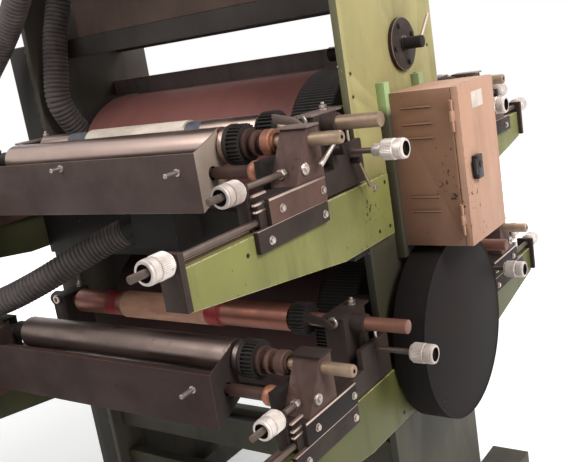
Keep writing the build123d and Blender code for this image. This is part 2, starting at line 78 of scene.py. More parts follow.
class Axis(Enum):
    """The direction that a round or extruded shape runs along."""

    X = "x"
    Y = "y"
    Z = "z"

    def placing(self, centre: Point) -> Matrix:
        """Where a shape drawn along its own Z goes.

        Args:
            centre: a point that the shape's line passes through.

        Returns:
            The matrix that turns Z to this axis and moves the line to the point.
        """
        turns = {Axis.X: ((0, 0, 1), (1, 0, 0), (0, 1, 0)),
                 Axis.Y: ((0, 1, 0), (0, 0, 1), (1, 0, 0)),
                 Axis.Z: ((1, 0, 0), (0, 1, 0), (0, 0, 1))}
        matrix = Matrix(turns[self]).to_4x4()
        matrix.translation = [0.0 if axis is self else value for axis, value in zip(Axis, centre)]
        return matrix


class Side(Enum):
    """The side of the drums that a deck stands on."""

    FRONT = "front"
    BACK = "back"


class Level(Enum):
    """The drum that a deck prints on."""

    UPPER = "upper"
    LOWER = "lower"


class Recipe:
    """The node tree of one material, grown from patterns on Object coordinates."""

    def __init__(self, name: str) -> None:
        """Start from an empty Principled material.

        Args:
            name: the material's name.
        """
        self.material = bpy.data.materials.new(name)
        self.material.use_nodes = True
        self.tree = self.material.node_tree
        self.shader = self.tree.nodes["Principled BSDF"]
        self.place = self.tree.nodes.new("ShaderNodeTexCoord").outputs["Object"]

    def node(self, kind: str, values: dict, **settings: object) -> bpy.types.Node:
        """Add a node and fill its sockets.

        Args:
            kind: the node's type.
            values: a number, colour or linked socket for each input, by its index or name.
            settings: the node's own options.

        Returns:
            The new node.
        """
        made = self.tree.nodes.new(kind)
        for option, value in settings.items():
            setattr(made, option, value)
        for key, value in values.items():
            self.feed(made.inputs[key], value)
        return made

    def feed(self, socket: bpy.types.NodeSocket, value: object) -> None:
        """Link a socket to another, or set its value.

        Args:
            socket: the input.
            value: another socket, a number or a colour.
        """
        if isinstance(value, bpy.types.NodeSocket):
            self.tree.links.new(value, socket)
        elif isinstance(value, tuple) and len(value) == 3 and socket.type == "RGBA":
            socket.default_value = (*value, 1.0)
        else:
            socket.default_value = value

    def noise(self, scale: float, detail: float = 4.0, stretch: Point = (1, 1, 1),
              shift: float = 0.0) -> bpy.types.NodeSocket:
        """Cloudy noise.

        Args:
            scale: its spots in a metre.
            detail: its finer layers.
            stretch: how much denser it is along each axis.
            shift: moves the pattern, so that two of one scale differ.

        Returns:
            The socket with its value.
        """
        place = self.node("ShaderNodeMapping", {"Vector": self.place, "Location": (shift, shift, shift),
                                                "Scale": stretch})
        made = self.node("ShaderNodeTexNoise", {"Vector": place.outputs[0], "Scale": scale,
                                                "Detail": detail, "Roughness": 0.6})
        return made.outputs[0]

    def limits(self, value: bpy.types.NodeSocket, low: float, high: float,
               start: float = 0.0, end: float = 1.0) -> bpy.types.NodeSocket:
        """Map one range of values onto another, and clamp them.

        Args:
            value: the socket with the value.
            low: the value that becomes the start.
            high: the value that becomes the end.
            start: what the low value becomes.
            end: what the high value becomes.

        Returns:
            The socket with the result.
        """
        return self.node("ShaderNodeMapRange", {0: value, 1: low, 2: high, 3: start, 4: end}).outputs[0]

    def sums(self, operation: str, first: object, second: object) -> bpy.types.NodeSocket:
        """Join two values.

        Args:
            operation: an operation of the Math node.
            first: a socket or a number.
            second: a socket or a number.

        Returns:
            The socket with the result.
        """
        return self.node("ShaderNodeMath", {0: first, 1: second}, operation=operation).outputs[0]

    def blend(self, amount: object, first: object, second: object) -> bpy.types.NodeSocket:
        """Mix two colours.

        Args:
            amount: the share of the second, from 0 to 1.
            first: a socket or a colour.
            second: a socket or a colour.

        Returns:
            The socket with the mixed colour.
        """
        return self.node("ShaderNodeMix", {0: amount, 6: first, 7: second}, data_type="RGBA").outputs[2]

    def above(self, low: float, high: float) -> bpy.types.NodeSocket:
        """A value that fades out upwards, with a ragged border.

        Args:
            low: the height up to which it is 1.
            high: the height from which it is 0.

        Returns:
            The socket with the value.
        """
        height = self.node("ShaderNodeSeparateXYZ", {0: self.place}).outputs[2]
        fray = self.sums("MULTIPLY", self.noise(3.0, 5.0, (1, 1, 0.4), 17.0), 2 * BORDER_FRAY)
        return self.limits(self.sums("ADD", height, fray), low + BORDER_FRAY, high + BORDER_FRAY, 1.0, 0.0)

    def finish(self, colour: object, roughness: object, metallic: object, height: object,
               depth: float, gloss: float) -> bpy.types.Material:
        """Wire the patterns into the shader.

        Args:
            colour: the base colour.
            roughness: the roughness.
            metallic: the share of bare metal.
            height: the relief.
            depth: how deep the relief is, in metres.
            gloss: the strength of the reflections that aren't metallic.

        Returns:
            The material.
        """
        relief = self.node("ShaderNodeBump", {"Height": height, "Distance": depth, "Strength": 1.0})
        self.feed(self.shader.inputs["Base Color"], colour)
        self.feed(self.shader.inputs["Roughness"], roughness)
        self.feed(self.shader.inputs["Metallic"], metallic)
        self.feed(self.shader.inputs["Normal"], relief.outputs[0])
        self.shader.inputs["Specular IOR Level"].default_value = gloss
        return self.material


def in_sight(tree: bpy.types.NodeTree) -> bpy.types.NodeSocket:
    """Tell the rays that show a surface from those that light the press.

    Args:
        tree: the node tree that needs to know.

    Returns:
        The socket that is 1 for camera, glossy and transmission rays, and 0 for the others.
    """
    rays = tree.nodes.new("ShaderNodeLightPath").outputs
    value = rays["Is Camera Ray"]
    for kind in ("Is Glossy Ray", "Is Transmission Ray"):
        joined = tree.nodes.new("ShaderNodeMath")
        joined.operation = "MAXIMUM"
        tree.links.new(value, joined.inputs[0])
        tree.links.new(rays[kind], joined.inputs[1])
        value = joined.outputs[0]
    return value


def shade(colour: Colour, factor: float) -> Colour:
    """A colour made lighter or darker.

    Args:
        colour: the colour.
        factor: above 1 for lighter.

    Returns:
        The new colour.
    """
    return tuple(min(1.0, part * factor) for part in colour)


@dataclass(frozen=True)
class Painted:
    """Workshop paint over steel, with soiling, runs of dirt and chips, and where heights are given a band of
    painted shade from below.
    """

    name: str
    colour: Colour
    soil: Colour = (0.045, 0.035, 0.028)
    chip: Colour = (0.12, 0.085, 0.065)
    roughness: float = 0.5
    soiling: float = 0.5
    chips: float = 0.3
    run: Point = (1.0, 1.0, 0.14)
    gloss: float = 0.3
    # Heights between which painted shade fades out upwards, and the colour of that painted shade.
    shade_heights: tuple[float, float] | None = None
    shade_colour: Colour = (0.045, 0.042, 0.03)

    def material(self) -> bpy.types.Material:
        """Mix the paint.

        Returns:
            Its material.
        """
        recipe = Recipe(self.name)
        tone = recipe.limits(recipe.noise(3.0, 6.0), 0.3, 0.7)
        base = recipe.blend(tone, shade(self.colour, 0.82), shade(self.colour, 1.14))
        runs = recipe.limits(recipe.noise(14.0, 5.0, self.run, 3.0), 0.5, 0.78, 0.0, self.soiling)
        smears = recipe.limits(recipe.noise(2.2, 8.0, shift=7.0), 0.48, 0.72, 0.0, self.soiling)
        dirt = recipe.sums("MAXIMUM", runs, smears)
        speckle = recipe.limits(recipe.noise(160.0, 3.0, shift=5.0), 0.60, 0.72, 0.0, 0.35 * self.soiling)
        dirt_and_shade = recipe.blend(recipe.sums("MAXIMUM", dirt, speckle), base, self.soil)
        # Painted shade: full below the lower height, gone above the higher one.
        if self.shade_heights:
            rise = recipe.sums("MULTIPLY", recipe.above(*self.shade_heights), 0.95)
            dirt_and_shade = recipe.blend(rise, dirt_and_shade, self.shade_colour)
        patches = recipe.noise(5.0, 3.0, shift=11.0)
        flakes = recipe.noise(75.0, 6.0, shift=13.0)
        joined = recipe.sums("ADD", recipe.sums("MULTIPLY", patches, 0.55),
                             recipe.sums("MULTIPLY", flakes, 0.75))
        edge = 0.86 - 0.17 * self.chips
        chipped = recipe.limits(joined, edge, edge + 0.015)
        colour = recipe.blend(chipped, dirt_and_shade, self.chip)
        rough = recipe.limits(dirt, 0.0, 1.0, self.roughness, min(0.9, self.roughness + 0.3))
        peel = recipe.sums("MULTIPLY", recipe.noise(420.0, 2.0), 0.25)
        height = recipe.sums("SUBTRACT", peel, chipped)
        return recipe.finish(colour, rough, 0.0, height, 0.00035, self.gloss)

    def worn(self) -> tuple["Painted", "Painted"]:
        """The paint, and the same paint where an edge has rubbed it."""
        return self, replace(self, name=self.name + "_edge", chips=min(1.9, self.chips * EDGE_WEAR + 0.35))


@dataclass(frozen=True)
class Machined:
    """Bare machined metal with tool marks, oil stains and rubbed lights."""

    name: str
    colour: Colour
    stain: Colour = (0.06, 0.045, 0.038)
    roughness: float = 0.3
    staining: float = 0.5
    metallic: float = 1.0
    marks: Point = (1.0, 0.03, 0.03)
    mark_scale: float = 260.0
    mark_depth: float = 0.00006
    gloss: float = 0.4

    def material(self) -> bpy.types.Material:
        """Mix the metal's look.

        Returns:
            Its material.
        """
        recipe = Recipe(self.name)
        marks = recipe.noise(self.mark_scale, 3.0, self.marks)
        broad = recipe.noise(self.mark_scale / 12.0, 4.0, self.marks, 4.0)
        base = recipe.blend(recipe.limits(broad, 0.3, 0.7), shade(self.colour, 0.78), shade(self.colour, 1.12))
        clouds = recipe.limits(recipe.noise(7.0, 7.0, shift=9.0), 0.44, 0.7, 0.0, self.staining)
        spots = recipe.limits(recipe.noise(60.0, 5.0, shift=2.0), 0.58, 0.74, 0.0, self.staining)
        stains = recipe.sums("MAXIMUM", clouds, spots)
        colour = recipe.blend(stains, base, self.stain)
        rough = recipe.limits(recipe.sums("ADD", stains, recipe.sums("MULTIPLY", marks, 0.4)), 0.1, 1.1,
                              self.roughness, min(0.85, self.roughness + 0.35))
        metal = recipe.limits(stains, 0.0, 1.0, self.metallic, self.metallic * 0.35)
        return recipe.finish(colour, rough, metal, marks, self.mark_depth, self.gloss)


@dataclass(frozen=True)
class Moulded:
    """Plastic or rubber with settled dust and rubbed ink."""

    name: str
    colour: Colour
    dust: Colour
    roughness: float = 0.6
    dusting: float = 0.4
    run: Point = (1.0, 1.0, 1.0)
    gloss: float = 0.3

    def material(self) -> bpy.types.Material:
        """Mix the plastic's or rubber's look.

        Returns:
            Its material.
        """
        recipe = Recipe(self.name)
        tone = recipe.limits(recipe.noise(10.0, 5.0, self.run), 0.3, 0.7)
        base = recipe.blend(tone, shade(self.colour, 0.75), shade(self.colour, 1.25))
        dust = recipe.limits(recipe.noise(28.0, 7.0, self.run, 6.0), 0.42, 0.72, 0.0, self.dusting)
        colour = recipe.blend(dust, base, self.dust)
        rough = recipe.limits(dust, 0.0, 1.0, self.roughness, 0.9)
        return recipe.finish(colour, rough, 0.0, recipe.noise(300.0, 3.0), 0.0002, self.gloss)


Finish = Painted | Machined | Moulded

# The frame's paint, with painted shade below 1.06 to 1.34 m.
FRAME_PAINT = Painted("frame_paint", (0.37, 0.32, 0.138), chips=0.1, soiling=0.5, chip=(0.05, 0.045, 0.03),
                      soil=(0.085, 0.066, 0.035), shade_heights=(1.06, 1.34), shade_colour=(0.024, 0.021, 0.014))
# The frame's front and back faces: the frame paint darker, as painted shade, with the same painted shade from
# below.
SHADED_FRAME_RIM = Painted("shaded_frame_rim", (0.16, 0.145, 0.075), chips=0.3, soiling=0.7, chip=(0.3, 0.27, 0.14),
                    shade_heights=(1.06, 1.34), shade_colour=(0.02, 0.018, 0.012))
# The left side frame: the frame paint darkened all over, as painted shade.
SHADED_LEFT_FRAME = Painted("shaded_left_frame", (0.09, 0.077, 0.062), chips=0.1, soiling=0.6, chip=(0.09, 0.075, 0.05),
                       gloss=0.15)
ARM_PAINT = Painted("arm_paint", (0.215, 0.212, 0.062), chips=0.34, soiling=0.5, chip=(0.035, 0.032, 0.015))
SHADED_ARM = Painted("shaded_arm", (0.082, 0.082, 0.022), chips=0.3, soiling=0.6, chip=(0.03, 0.027, 0.013),
                     soil=(0.03, 0.024, 0.016))
ARM_EDGE = Painted("arm_edge", (0.26, 0.265, 0.085), chips=1.5, soiling=0.4, chip=(0.42, 0.36, 0.22))
# The left, drive-side arms: the arm paint darkened, as painted shade.
SHADED_LEFT_ARM = Painted("shaded_left_arm", (0.06, 0.06, 0.024), chips=0.3, soiling=0.75, chip=(0.03, 0.026, 0.02))
# The strips beside the box, darkened below 1.39 to 1.42 m by painted shade.
STRIP_PAINT = Painted("strip_paint", (0.34, 0.44, 0.2), chips=0.2, soiling=0.5, chip=(0.03, 0.03, 0.02),
                      shade_heights=(1.39, 1.42), shade_colour=(0.045, 0.033, 0.024))
BASE_PAINT = Painted("base_paint", (0.055, 0.052, 0.034), chips=0.3, soiling=0.8, gloss=0.2)
BEAM_PAINT = Painted("beam_paint", (0.085, 0.073, 0.068), chips=0.15, soiling=0.6, gloss=0.15)
RAIL_PAINT = Painted("rail_paint", (0.27, 0.223, 0.21), chips=0.2, soiling=0.6, chip=(0.16, 0.08, 0.065),
                     gloss=0.15)
RAIL_RUST = Painted("rail_rust", (0.27, 0.135, 0.11), chips=0.5, soiling=0.5, chip=(0.06, 0.04, 0.035),
                    gloss=0.15)
DUCT_PAINT = Painted("duct_paint", (0.16, 0.108, 0.086), chips=0.12, soiling=0.6, soil=(0.06, 0.045, 0.037),
                     gloss=0.2)
DRYER_PAINT = Painted("dryer_paint", (0.022, 0.019, 0.018), chips=0.12, soiling=0.4, gloss=0.12)
COVER_PAINT = Painted("cover_paint", (0.0125, 0.0102, 0.0098), chips=0.12, soiling=0.35, roughness=0.65,
                      soil=(0.036, 0.027, 0.024), gloss=0.08)
GUARD_PAINT = Painted("guard_paint", (0.036, 0.033, 0.028), chips=0.3, soiling=0.7, gloss=0.2)
# The box's front and back sides: the box paint darker and redder, as painted shade, with real soiling.
SHADED_BOX_FLANK = Painted("shaded_box_flank", (0.31, 0.168, 0.112), chips=0.3, soiling=0.5, chip=(0.07, 0.04, 0.028),
                    soil=(0.12, 0.066, 0.046), roughness=0.6, gloss=0.2)
BOX_PAINT = Painted("box_paint", (0.5, 0.29, 0.2), chips=0.26, soiling=0.4, chip=(0.085, 0.05, 0.035),
                    soil=(0.2, 0.11, 0.075), roughness=0.55, gloss=0.25)
DRUM_COAT = Painted("drum_coat", (0.28, 0.11, 0.096), chips=0.08, soiling=0.45, roughness=0.5,
                    run=(1.0, 0.06, 0.06), soil=(0.15, 0.07, 0.062), chip=(0.3, 0.2, 0.17), gloss=0.2)
# The lower drum's coat: the drum coat darkened, as painted shade.
SHADED_LOWER_DRUM = Painted("shaded_lower_drum", (0.036, 0.015, 0.013), chips=0.06, soiling=0.6, roughness=0.6,
                      run=(1.0, 0.06, 0.06), soil=(0.02, 0.014, 0.012), chip=(0.07, 0.045, 0.038), gloss=0.15)
DARK_STEEL = Machined("dark_steel", (0.042, 0.028, 0.0235), roughness=0.55, staining=0.75, metallic=0.12,
                      stain=(0.022, 0.017, 0.015), marks=(0.2, 1.0, 1.0), mark_scale=90.0, gloss=0.16)
# Near-black steel. On the lower decks' gibs it stands for painted shade.
SOOT_AND_SHADE_STEEL = Machined("soot_and_shade_steel", (0.018, 0.014, 0.013), roughness=0.6, staining=0.5, metallic=0.08,
                      stain=(0.038, 0.027, 0.023), marks=(0.2, 1.0, 1.0), mark_scale=90.0, gloss=0.14)
BLOCK_STEEL = Machined("block_steel", (0.12, 0.068, 0.057), roughness=0.52, staining=0.7, metallic=0.12,
                       stain=(0.032, 0.022, 0.019), marks=(1.0, 1.0, 0.1), mark_scale=110.0, gloss=0.18)
WAY_STEEL = Machined("way_steel", (0.6, 0.47, 0.4), roughness=0.34, staining=0.4, marks=(1.0, 0.02, 1.0),
                     mark_depth=0.00002, stain=(0.16, 0.1, 0.075))
EDGE_STEEL = Machined("edge_steel", (0.24, 0.175, 0.15), roughness=0.42, staining=0.6, metallic=0.5,
                      stain=(0.05, 0.036, 0.03), marks=(1.0, 1.0, 1.0), mark_scale=70.0)
GEAR_STEEL = Machined("gear_steel", (0.027, 0.023, 0.0215), roughness=0.5, staining=0.5, metallic=0.15,
                      stain=(0.042, 0.033, 0.029), gloss=0.2)
RIM_STEEL = Machined("rim_steel", (0.085, 0.077, 0.074), roughness=0.5, staining=0.5, metallic=0.15,
                     stain=(0.03, 0.025, 0.023), gloss=0.2)
GIB_STEEL = Machined("gib_steel", (0.13, 0.07, 0.055), roughness=0.5, staining=0.6, metallic=0.12,
                     stain=(0.055, 0.034, 0.028), marks=(0.2, 1.0, 1.0), mark_scale=90.0, gloss=0.16)
ROLLER_STEEL = Machined("roller_steel", (0.5, 0.37, 0.32), roughness=0.27, staining=0.25,
                        stain=(0.27, 0.175, 0.145), marks=(0.05, 0.5, 0.5), mark_depth=0.000004)
# The lower decks' anilox: the roller steel darkened, as painted shade.
SHADED_LOWER_ROLLER = Machined("shaded_lower_roller", (0.27, 0.2, 0.175), roughness=0.3, staining=0.55,
                         stain=(0.1, 0.066, 0.056), marks=(0.05, 0.5, 0.5), mark_depth=0.000004)
SHAFT_STEEL = Machined("shaft_steel", (0.32, 0.225, 0.155), roughness=0.36, staining=0.45, metallic=0.7,
                       stain=(0.12, 0.068, 0.046), marks=(1.0, 0.02, 0.02), mark_depth=0.00002)
HUB_BRONZE = Machined("hub_bronze", (0.36, 0.15, 0.085), roughness=0.42, staining=0.55, metallic=0.5,
                      stain=(0.1, 0.044, 0.032), mark_depth=0.00002)
RUST_STEEL = Machined("rust_steel", (0.13, 0.068, 0.05), roughness=0.5, staining=0.6, metallic=0.3,
                      stain=(0.045, 0.026, 0.021), mark_depth=0.00002, gloss=0.25)
GUM_STEEL = Machined("gum_steel", (0.07, 0.034, 0.027), roughness=0.5, staining=0.6, metallic=0.15,
                     stain=(0.03, 0.018, 0.015), gloss=0.25)
BOLT_STEEL = Machined("bolt_steel", (0.5, 0.43, 0.38), roughness=0.34, staining=0.6, mark_scale=400.0,
                      marks=(1.0, 1.0, 1.0), stain=(0.1, 0.068, 0.055))
KNOB_METAL = Machined("knob_metal", (0.72, 0.64, 0.59), roughness=0.4, staining=0.7, metallic=0.45,
                      stain=(0.27, 0.19, 0.15), marks=(1.0, 1.0, 1.0), mark_scale=150.0)
SCREW_STEEL = Machined("screw_steel", (0.13, 0.093, 0.075), roughness=0.4, staining=0.55, metallic=0.6,
                       marks=(0.05, 1.0, 0.05), mark_scale=330.0)
TROUGH_SHEET = Machined("trough_sheet", (0.1, 0.068, 0.06), roughness=0.5, staining=0.6, metallic=0.15,
                        stain=(0.055, 0.037, 0.032), marks=(0.05, 1.0, 1.0), mark_scale=60.0, gloss=0.2)
# The lower troughs' sheet: the trough sheet darkened, as painted shade.
SHADED_LOWER_SHEET = Machined("shaded_lower_sheet", (0.055, 0.032, 0.028), roughness=0.55, staining=0.6, metallic=0.1,
                        stain=(0.03, 0.02, 0.018), marks=(0.05, 1.0, 1.0), mark_scale=60.0, gloss=0.16)
# The upper troughs' cheek: the trough's own sheet painted lighter, as painted light on the side that faces the
# lamp.
LIT_CHEEK_SHEET = Machined("lit_cheek_sheet", (0.36, 0.28, 0.225), roughness=0.5, staining=0.45, metallic=0.2,
                       stain=(0.17, 0.125, 0.1), marks=(1.0, 1.0, 0.08), mark_scale=60.0, gloss=0.3)
# The lower troughs' cheek: darkened, as painted shade.
SHADED_LOWER_CHEEK = Machined("shaded_lower_cheek", (0.05, 0.038, 0.034), roughness=0.55, staining=0.65, metallic=0.1,
                        stain=(0.026, 0.02, 0.018), marks=(1.0, 1.0, 0.08), mark_scale=60.0, gloss=0.16)
HEM_STEEL = Machined("hem_steel", (0.3, 0.225, 0.19), roughness=0.4, staining=0.5, metallic=0.5)
INK_RUBBER = Moulded("ink_rubber", (0.05, 0.025, 0.02), (0.12, 0.06, 0.042), run=(0.3, 1.0, 1.0))
PLATE_SHEET = Moulded("plate_sheet", (0.86, 0.72, 0.6), (0.5, 0.37, 0.3), 0.42, 0.5, (0.5, 1.6, 1.6))
BEIGE_PLATE = Moulded("beige_plate", (0.55, 0.29, 0.19), (0.2, 0.1, 0.07), 0.45, 0.5, (0.5, 1.6, 1.6))
TAPE_BLUE = Moulded("tape_blue", (0.07, 0.075, 0.1), (0.26, 0.24, 0.24), 0.45, 0.55)
TAPE_RED = Moulded("tape_red", (0.28, 0.022, 0.02), (0.13, 0.02, 0.018), 0.4, 0.4)
COPPER_SKIN = Machined("copper_skin", (0.3, 0.115, 0.078), roughness=0.32, staining=0.5, metallic=0.65,
                       stain=(0.1, 0.038, 0.03), marks=(0.05, 0.5, 0.5), mark_depth=0.000004)
DULL_COPPER = Machined("dull_copper", (0.2, 0.086, 0.058), roughness=0.36, staining=0.5, metallic=0.5,
                       stain=(0.09, 0.038, 0.03), marks=(0.05, 0.5, 0.5), mark_depth=0.000004)
HOSE_PLASTIC = Moulded("hose_plastic", (0.088, 0.073, 0.07), (0.23, 0.186, 0.168), 0.5, 0.4, gloss=0.25)
BLACK_PLASTIC = Moulded("black_plastic", (0.015, 0.014, 0.014), (0.06, 0.045, 0.04), 0.4, 0.35)
# Near-black painted shade for gaps and hollows: under the louvres, inside the knobs' noses, in the anilox
# shafts' end holes.
HOLLOW_SHADE = Moulded("hollow_shade", (0.012, 0.009, 0.008), (0.04, 0.028, 0.024), 0.85, 0.3, gloss=0.1)
BLANK_LABEL = Moulded("blank_label", (0.72, 0.62, 0.55), (0.42, 0.33, 0.27), 0.5, 0.45)

_made: dict[str, bpy.types.Material] = {}


def material_of(finish: Finish) -> bpy.types.Material:
    """The material of a finish, made once.

    Args:
        finish: the finish.

    Returns:
        Its material.
    """
    if finish.name not in _made:
        _made[finish.name] = finish.material()
    return _made[finish.name]


class Mould:
    """A mesh in the making, to which shapes are added in numbered finishes."""

    def __init__(self) -> None:
        """Start with no shape."""
        self.bm = bmesh.new()

    def soften(self, edges: Iterable[bmesh.types.BMEdge], width: float,
               rounds: int = 2) -> list[bmesh.types.BMFace]:
        """Bevel edges.

        Args:
            edges: the edges.
            width: the width of the bevel.
            rounds: how many strips of faces it has.

        Returns:
            The new faces.
        """
        made = bmesh.ops.bevel(self.bm, geom=list(edges), offset=width, offset_type="OFFSET", segments=rounds,
                               profile=0.5, affect="EDGES", clamp_overlap=True, material=-1)
        return made["faces"]

    @staticmethod
    def paint(faces: Iterable[bmesh.types.BMFace], finish: int) -> None:
        """Give faces the number of a finish."""
        for face in faces:
            face.material_index = finish

    def everything(self) -> list:
        """All corners, edges and faces of the mesh."""
        return self.bm.verts[:] + self.bm.edges[:] + self.bm.faces[:]

    def sink(self, ring: Sequence[bmesh.types.BMVert], drawn: Matrix, sides: int, low_phases: Sequence[int],
             share: float) -> None:
        """Pull some corners of a many-sided bar towards its line, at a steady beat.

        Args:
            ring: the bar's corners.
            drawn: the matrix from the bar's place to its own line.
            sides: how many sides the bar has.
            low_phases: which corners of each beat are pulled, where a beat has twice as many.
            share: the share of the radius that is left.
        """
        beat = 2 * len(low_phases)
        lows = [vert for vert in ring
                if round(math.atan2(*(drawn @ vert.co).yx) * sides / math.tau) % beat in low_phases]
        bmesh.ops.scale(self.bm, vec=(share, share, 1.0), space=drawn, verts=lows)

    def block(self, low: Point, high: Point, soft: float = 0.0012, finish: int = 0) -> None:
        """Add a box with softened edges.

        Args:
            low: its lowest corner.
            high: its highest corner.
            soft: the width of its bevel.
            finish: the number of its finish.
        """
        size = [b - a for a, b in zip(low, high)]
        middle = [(a + b) / 2 for a, b in zip(low, high)]
        matrix = Matrix.Translation(middle) @ Matrix.Diagonal((*size, 1.0))
        verts = bmesh.ops.create_cube(self.bm, size=1.0, matrix=matrix)["verts"]
        self.paint({face for vert in verts for face in vert.link_faces}, finish)
        self.soften({edge for vert in verts for edge in vert.link_edges}, soft)

    def rod(self, axis: Axis, start: float, end: float, radius: float, centre: Point, sides: int = 32,
            soft: float = 0.0008, finish: int = 0) -> list[bmesh.types.BMVert]:
        """Add a round or many-sided bar.

        Args:
            axis: its direction.
            start: where it starts along the axis.
            end: where it ends.
            radius: its radius.
            centre: a point on its line.
            sides: how many sides it has.
            soft: the bevel of its rims.
            finish: the number of its finish.

        Returns:
            Its corners, before the bevel.
        """
        drawn = Matrix.Translation((0.0, 0.0, (start + end) / 2))
        verts = bmesh.ops.create_cone(self.bm, cap_ends=True, segments=sides, radius1=radius, radius2=radius,
                                      depth=abs(end - start), matrix=axis.placing(centre) @ drawn)["verts"]
        faces = {face for vert in verts for face in vert.link_faces}
        self.paint(faces, finish)
        if soft:
            caps = [face for face in faces if len(face.verts) == sides]
            self.soften({edge for face in caps for edge in face.edges}, soft)
        return verts

    def turned(self, axis: Axis, centre: Point, profile: Pairs, sides: int = 40, finish: int = 0) -> None:
        """Add a turned shape.

        Args:
            axis: the line that it is turned about.
            centre: a point on that line.
            profile: pairs of place along the axis and radius, from end to end.
            sides: how many sides it has.
            finish: the number of its finish.
        """
        verts = [self.bm.verts.new((radius, 0.0, along)) for along, radius in profile]
        edges = [self.bm.edges.new(pair) for pair in zip(verts, verts[1:])]
        before = set(self.bm.faces)
        bmesh.ops.spin(self.bm, geom=verts + edges, cent=(0, 0, 0), axis=(0, 0, 1), dvec=(0, 0, 0),
                       angle=math.tau, steps=sides, use_merge=True, use_duplicate=False)
        corners = list({vert for face in set(self.bm.faces) - before for vert in face.verts})
        bmesh.ops.remove_doubles(self.bm, verts=corners, dist=MERGE_DISTANCE / 10)
        faces = [face for face in self.bm.faces if face not in before]
        corners = list({vert for face in faces for vert in face.verts})
        bmesh.ops.recalc_face_normals(self.bm, faces=faces)
        bmesh.ops.transform(self.bm, matrix=axis.placing(centre), verts=corners)
        self.paint(faces, finish)

    def spindle(self, axis: Axis, centre: Point, profile: Pairs, sides: int = 40, finish: int = 0) -> None:
        """Add a turned shape whose two ends are closed towards its line.

        Args:
            axis: the line that it is turned about.
            centre: a point on that line.
            profile: pairs of place along the axis and radius, without the closed ends.
            sides: how many sides it has.
            finish: the number of its finish.
        """
        closed = ((profile[0][0], 0.0), *profile, (profile[-1][0], 0.0))
        self.turned(axis, centre, closed, sides, finish)

    def teeth(self, start: float, end: float, outer: float, root: float, count: int, centre: Point,
              finish: int = 0) -> None:
        """Add a toothed wheel that turns about X.

        Args:
            start: the place of one face along X.
            end: the place of the other face.
            outer: its radius over the teeth.
            root: its radius at the bottom of the teeth.
            count: how many teeth it has.
            centre: a point on its line.
            finish: the number of its finish.
        """
        sides = 4 * count
        ring = self.rod(Axis.X, start, end, outer, centre, sides, 0.0, finish)
        self.sink(ring, Axis.X.placing(centre).inverted(), sides, (0, 1), root / outer)

    def slab(self, axis: Axis, start: float, end: float, outline: Pairs, soft: float = 0.001,
             finish: int = 0) -> None:
        """Add a flat plate of any outline.

        Args:
            axis: the direction of its thickness.
            start: one face's place along the axis.
            end: the other face's place.
            outline: its corners in the other two directions, in the order that follows the axis.
            soft: the width of its bevel.
            finish: the number of its finish.
        """
        verts = [self.bm.verts.new((a, b, start)) for a, b in outline]
        face = self.bm.faces.new(verts)
        raised = bmesh.ops.extrude_face_region(self.bm, geom=[face])["geom"]
        top = [part for part in raised if isinstance(part, bmesh.types.BMVert)]
        bmesh.ops.translate(self.bm, vec=(0, 0, end - start), verts=top)
        corners = verts + top
        faces = list({face for vert in corners for face in vert.link_faces})
        bmesh.ops.recalc_face_normals(self.bm, faces=faces)
        self.paint(faces, finish)
        bmesh.ops.transform(self.bm, matrix=axis.placing((0, 0, 0)), verts=corners)
        self.soften({edge for vert in corners for edge in vert.link_edges}, soft)

    def stick(self, start: Point, end: Point, radius: float, tip: float, finish: int = 0) -> None:
        """Add a round rod between two points, with a rounded end.

        Args:
            start: its first end.
            end: its other end.
            radius: its radius at the start.
            tip: its radius at the end.
            finish: the number of its finish.
        """
        way = Vector(end) - Vector(start)
        turn = Vector((0, 0, 1)).rotation_difference(way).to_matrix().to_4x4()
        before = set(self.bm.verts)
        self.turned(Axis.Z, (0, 0, 0), ((0.0, 0.0), (0.0, radius * 0.8), (radius * 0.2, radius),
                                        (way.length - tip * 0.6, tip), (way.length - tip * 0.15, tip * 0.7),
                                        (way.length, 0.0)), 20, finish)
        fresh = [vert for vert in self.bm.verts if vert not in before]
        bmesh.ops.transform(self.bm, matrix=Matrix.Translation(start) @ turn, verts=fresh)

    def bolt(self, axis: Axis, seat: float, height: float, radius: float, centre: Point) -> None:
        """Add a hexagon head on a washer.

        Args:
            axis: the bolt's direction.
            seat: the place of the face that it sits on.
            height: the head's height, washer included.
            radius: the head's radius over its corners.
            centre: a point on the bolt's line.
        """
        washer = height * 0.22
        self.rod(axis, seat, seat + washer, radius * 1.25, centre, 20, 0.0003)
        self.rod(axis, seat + washer, seat + height, radius, centre, 6, 0.0006)

    def thread(self, axis: Axis, start: float, end: float, radius: float, centre: Point) -> None:
        """Add a threaded end as close-set ridges, with a chamfered tip at its end.

        Args:
            axis: its direction.
            start: where the thread starts.
            end: where it ends.
            radius: its outer radius.
            centre: a point on its line.
        """
        count = max(2, round(abs(end - start) / THREAD_PITCH))
        step = (end - start) / count
        profile = []
        for turn in range(count):
            profile += [(start + step * turn, radius * 0.86), (start + step * (turn + 0.5), radius)]
        self.spindle(axis, centre, (*profile, (end, radius * 0.8)), 18)

    def spread(self, places: Sequence[Matrix]) -> None:
        """Put a copy of all that is made at each place, mirrored copies turned right side out.

        Args:
            places: where the copies go.
        """
        source = self.everything()
        groups = [source] + [bmesh.ops.duplicate(self.bm, geom=source)["geom"] for _ in places[1:]]
        for place, group in zip(places, groups):
            verts = [part for part in group if isinstance(part, bmesh.types.BMVert)]
            faces = [part for part in group if isinstance(part, bmesh.types.BMFace)]
            bmesh.ops.transform(self.bm, matrix=place, verts=verts)
            if place.determinant() < 0:
                bmesh.ops.reverse_faces(self.bm, faces=faces)

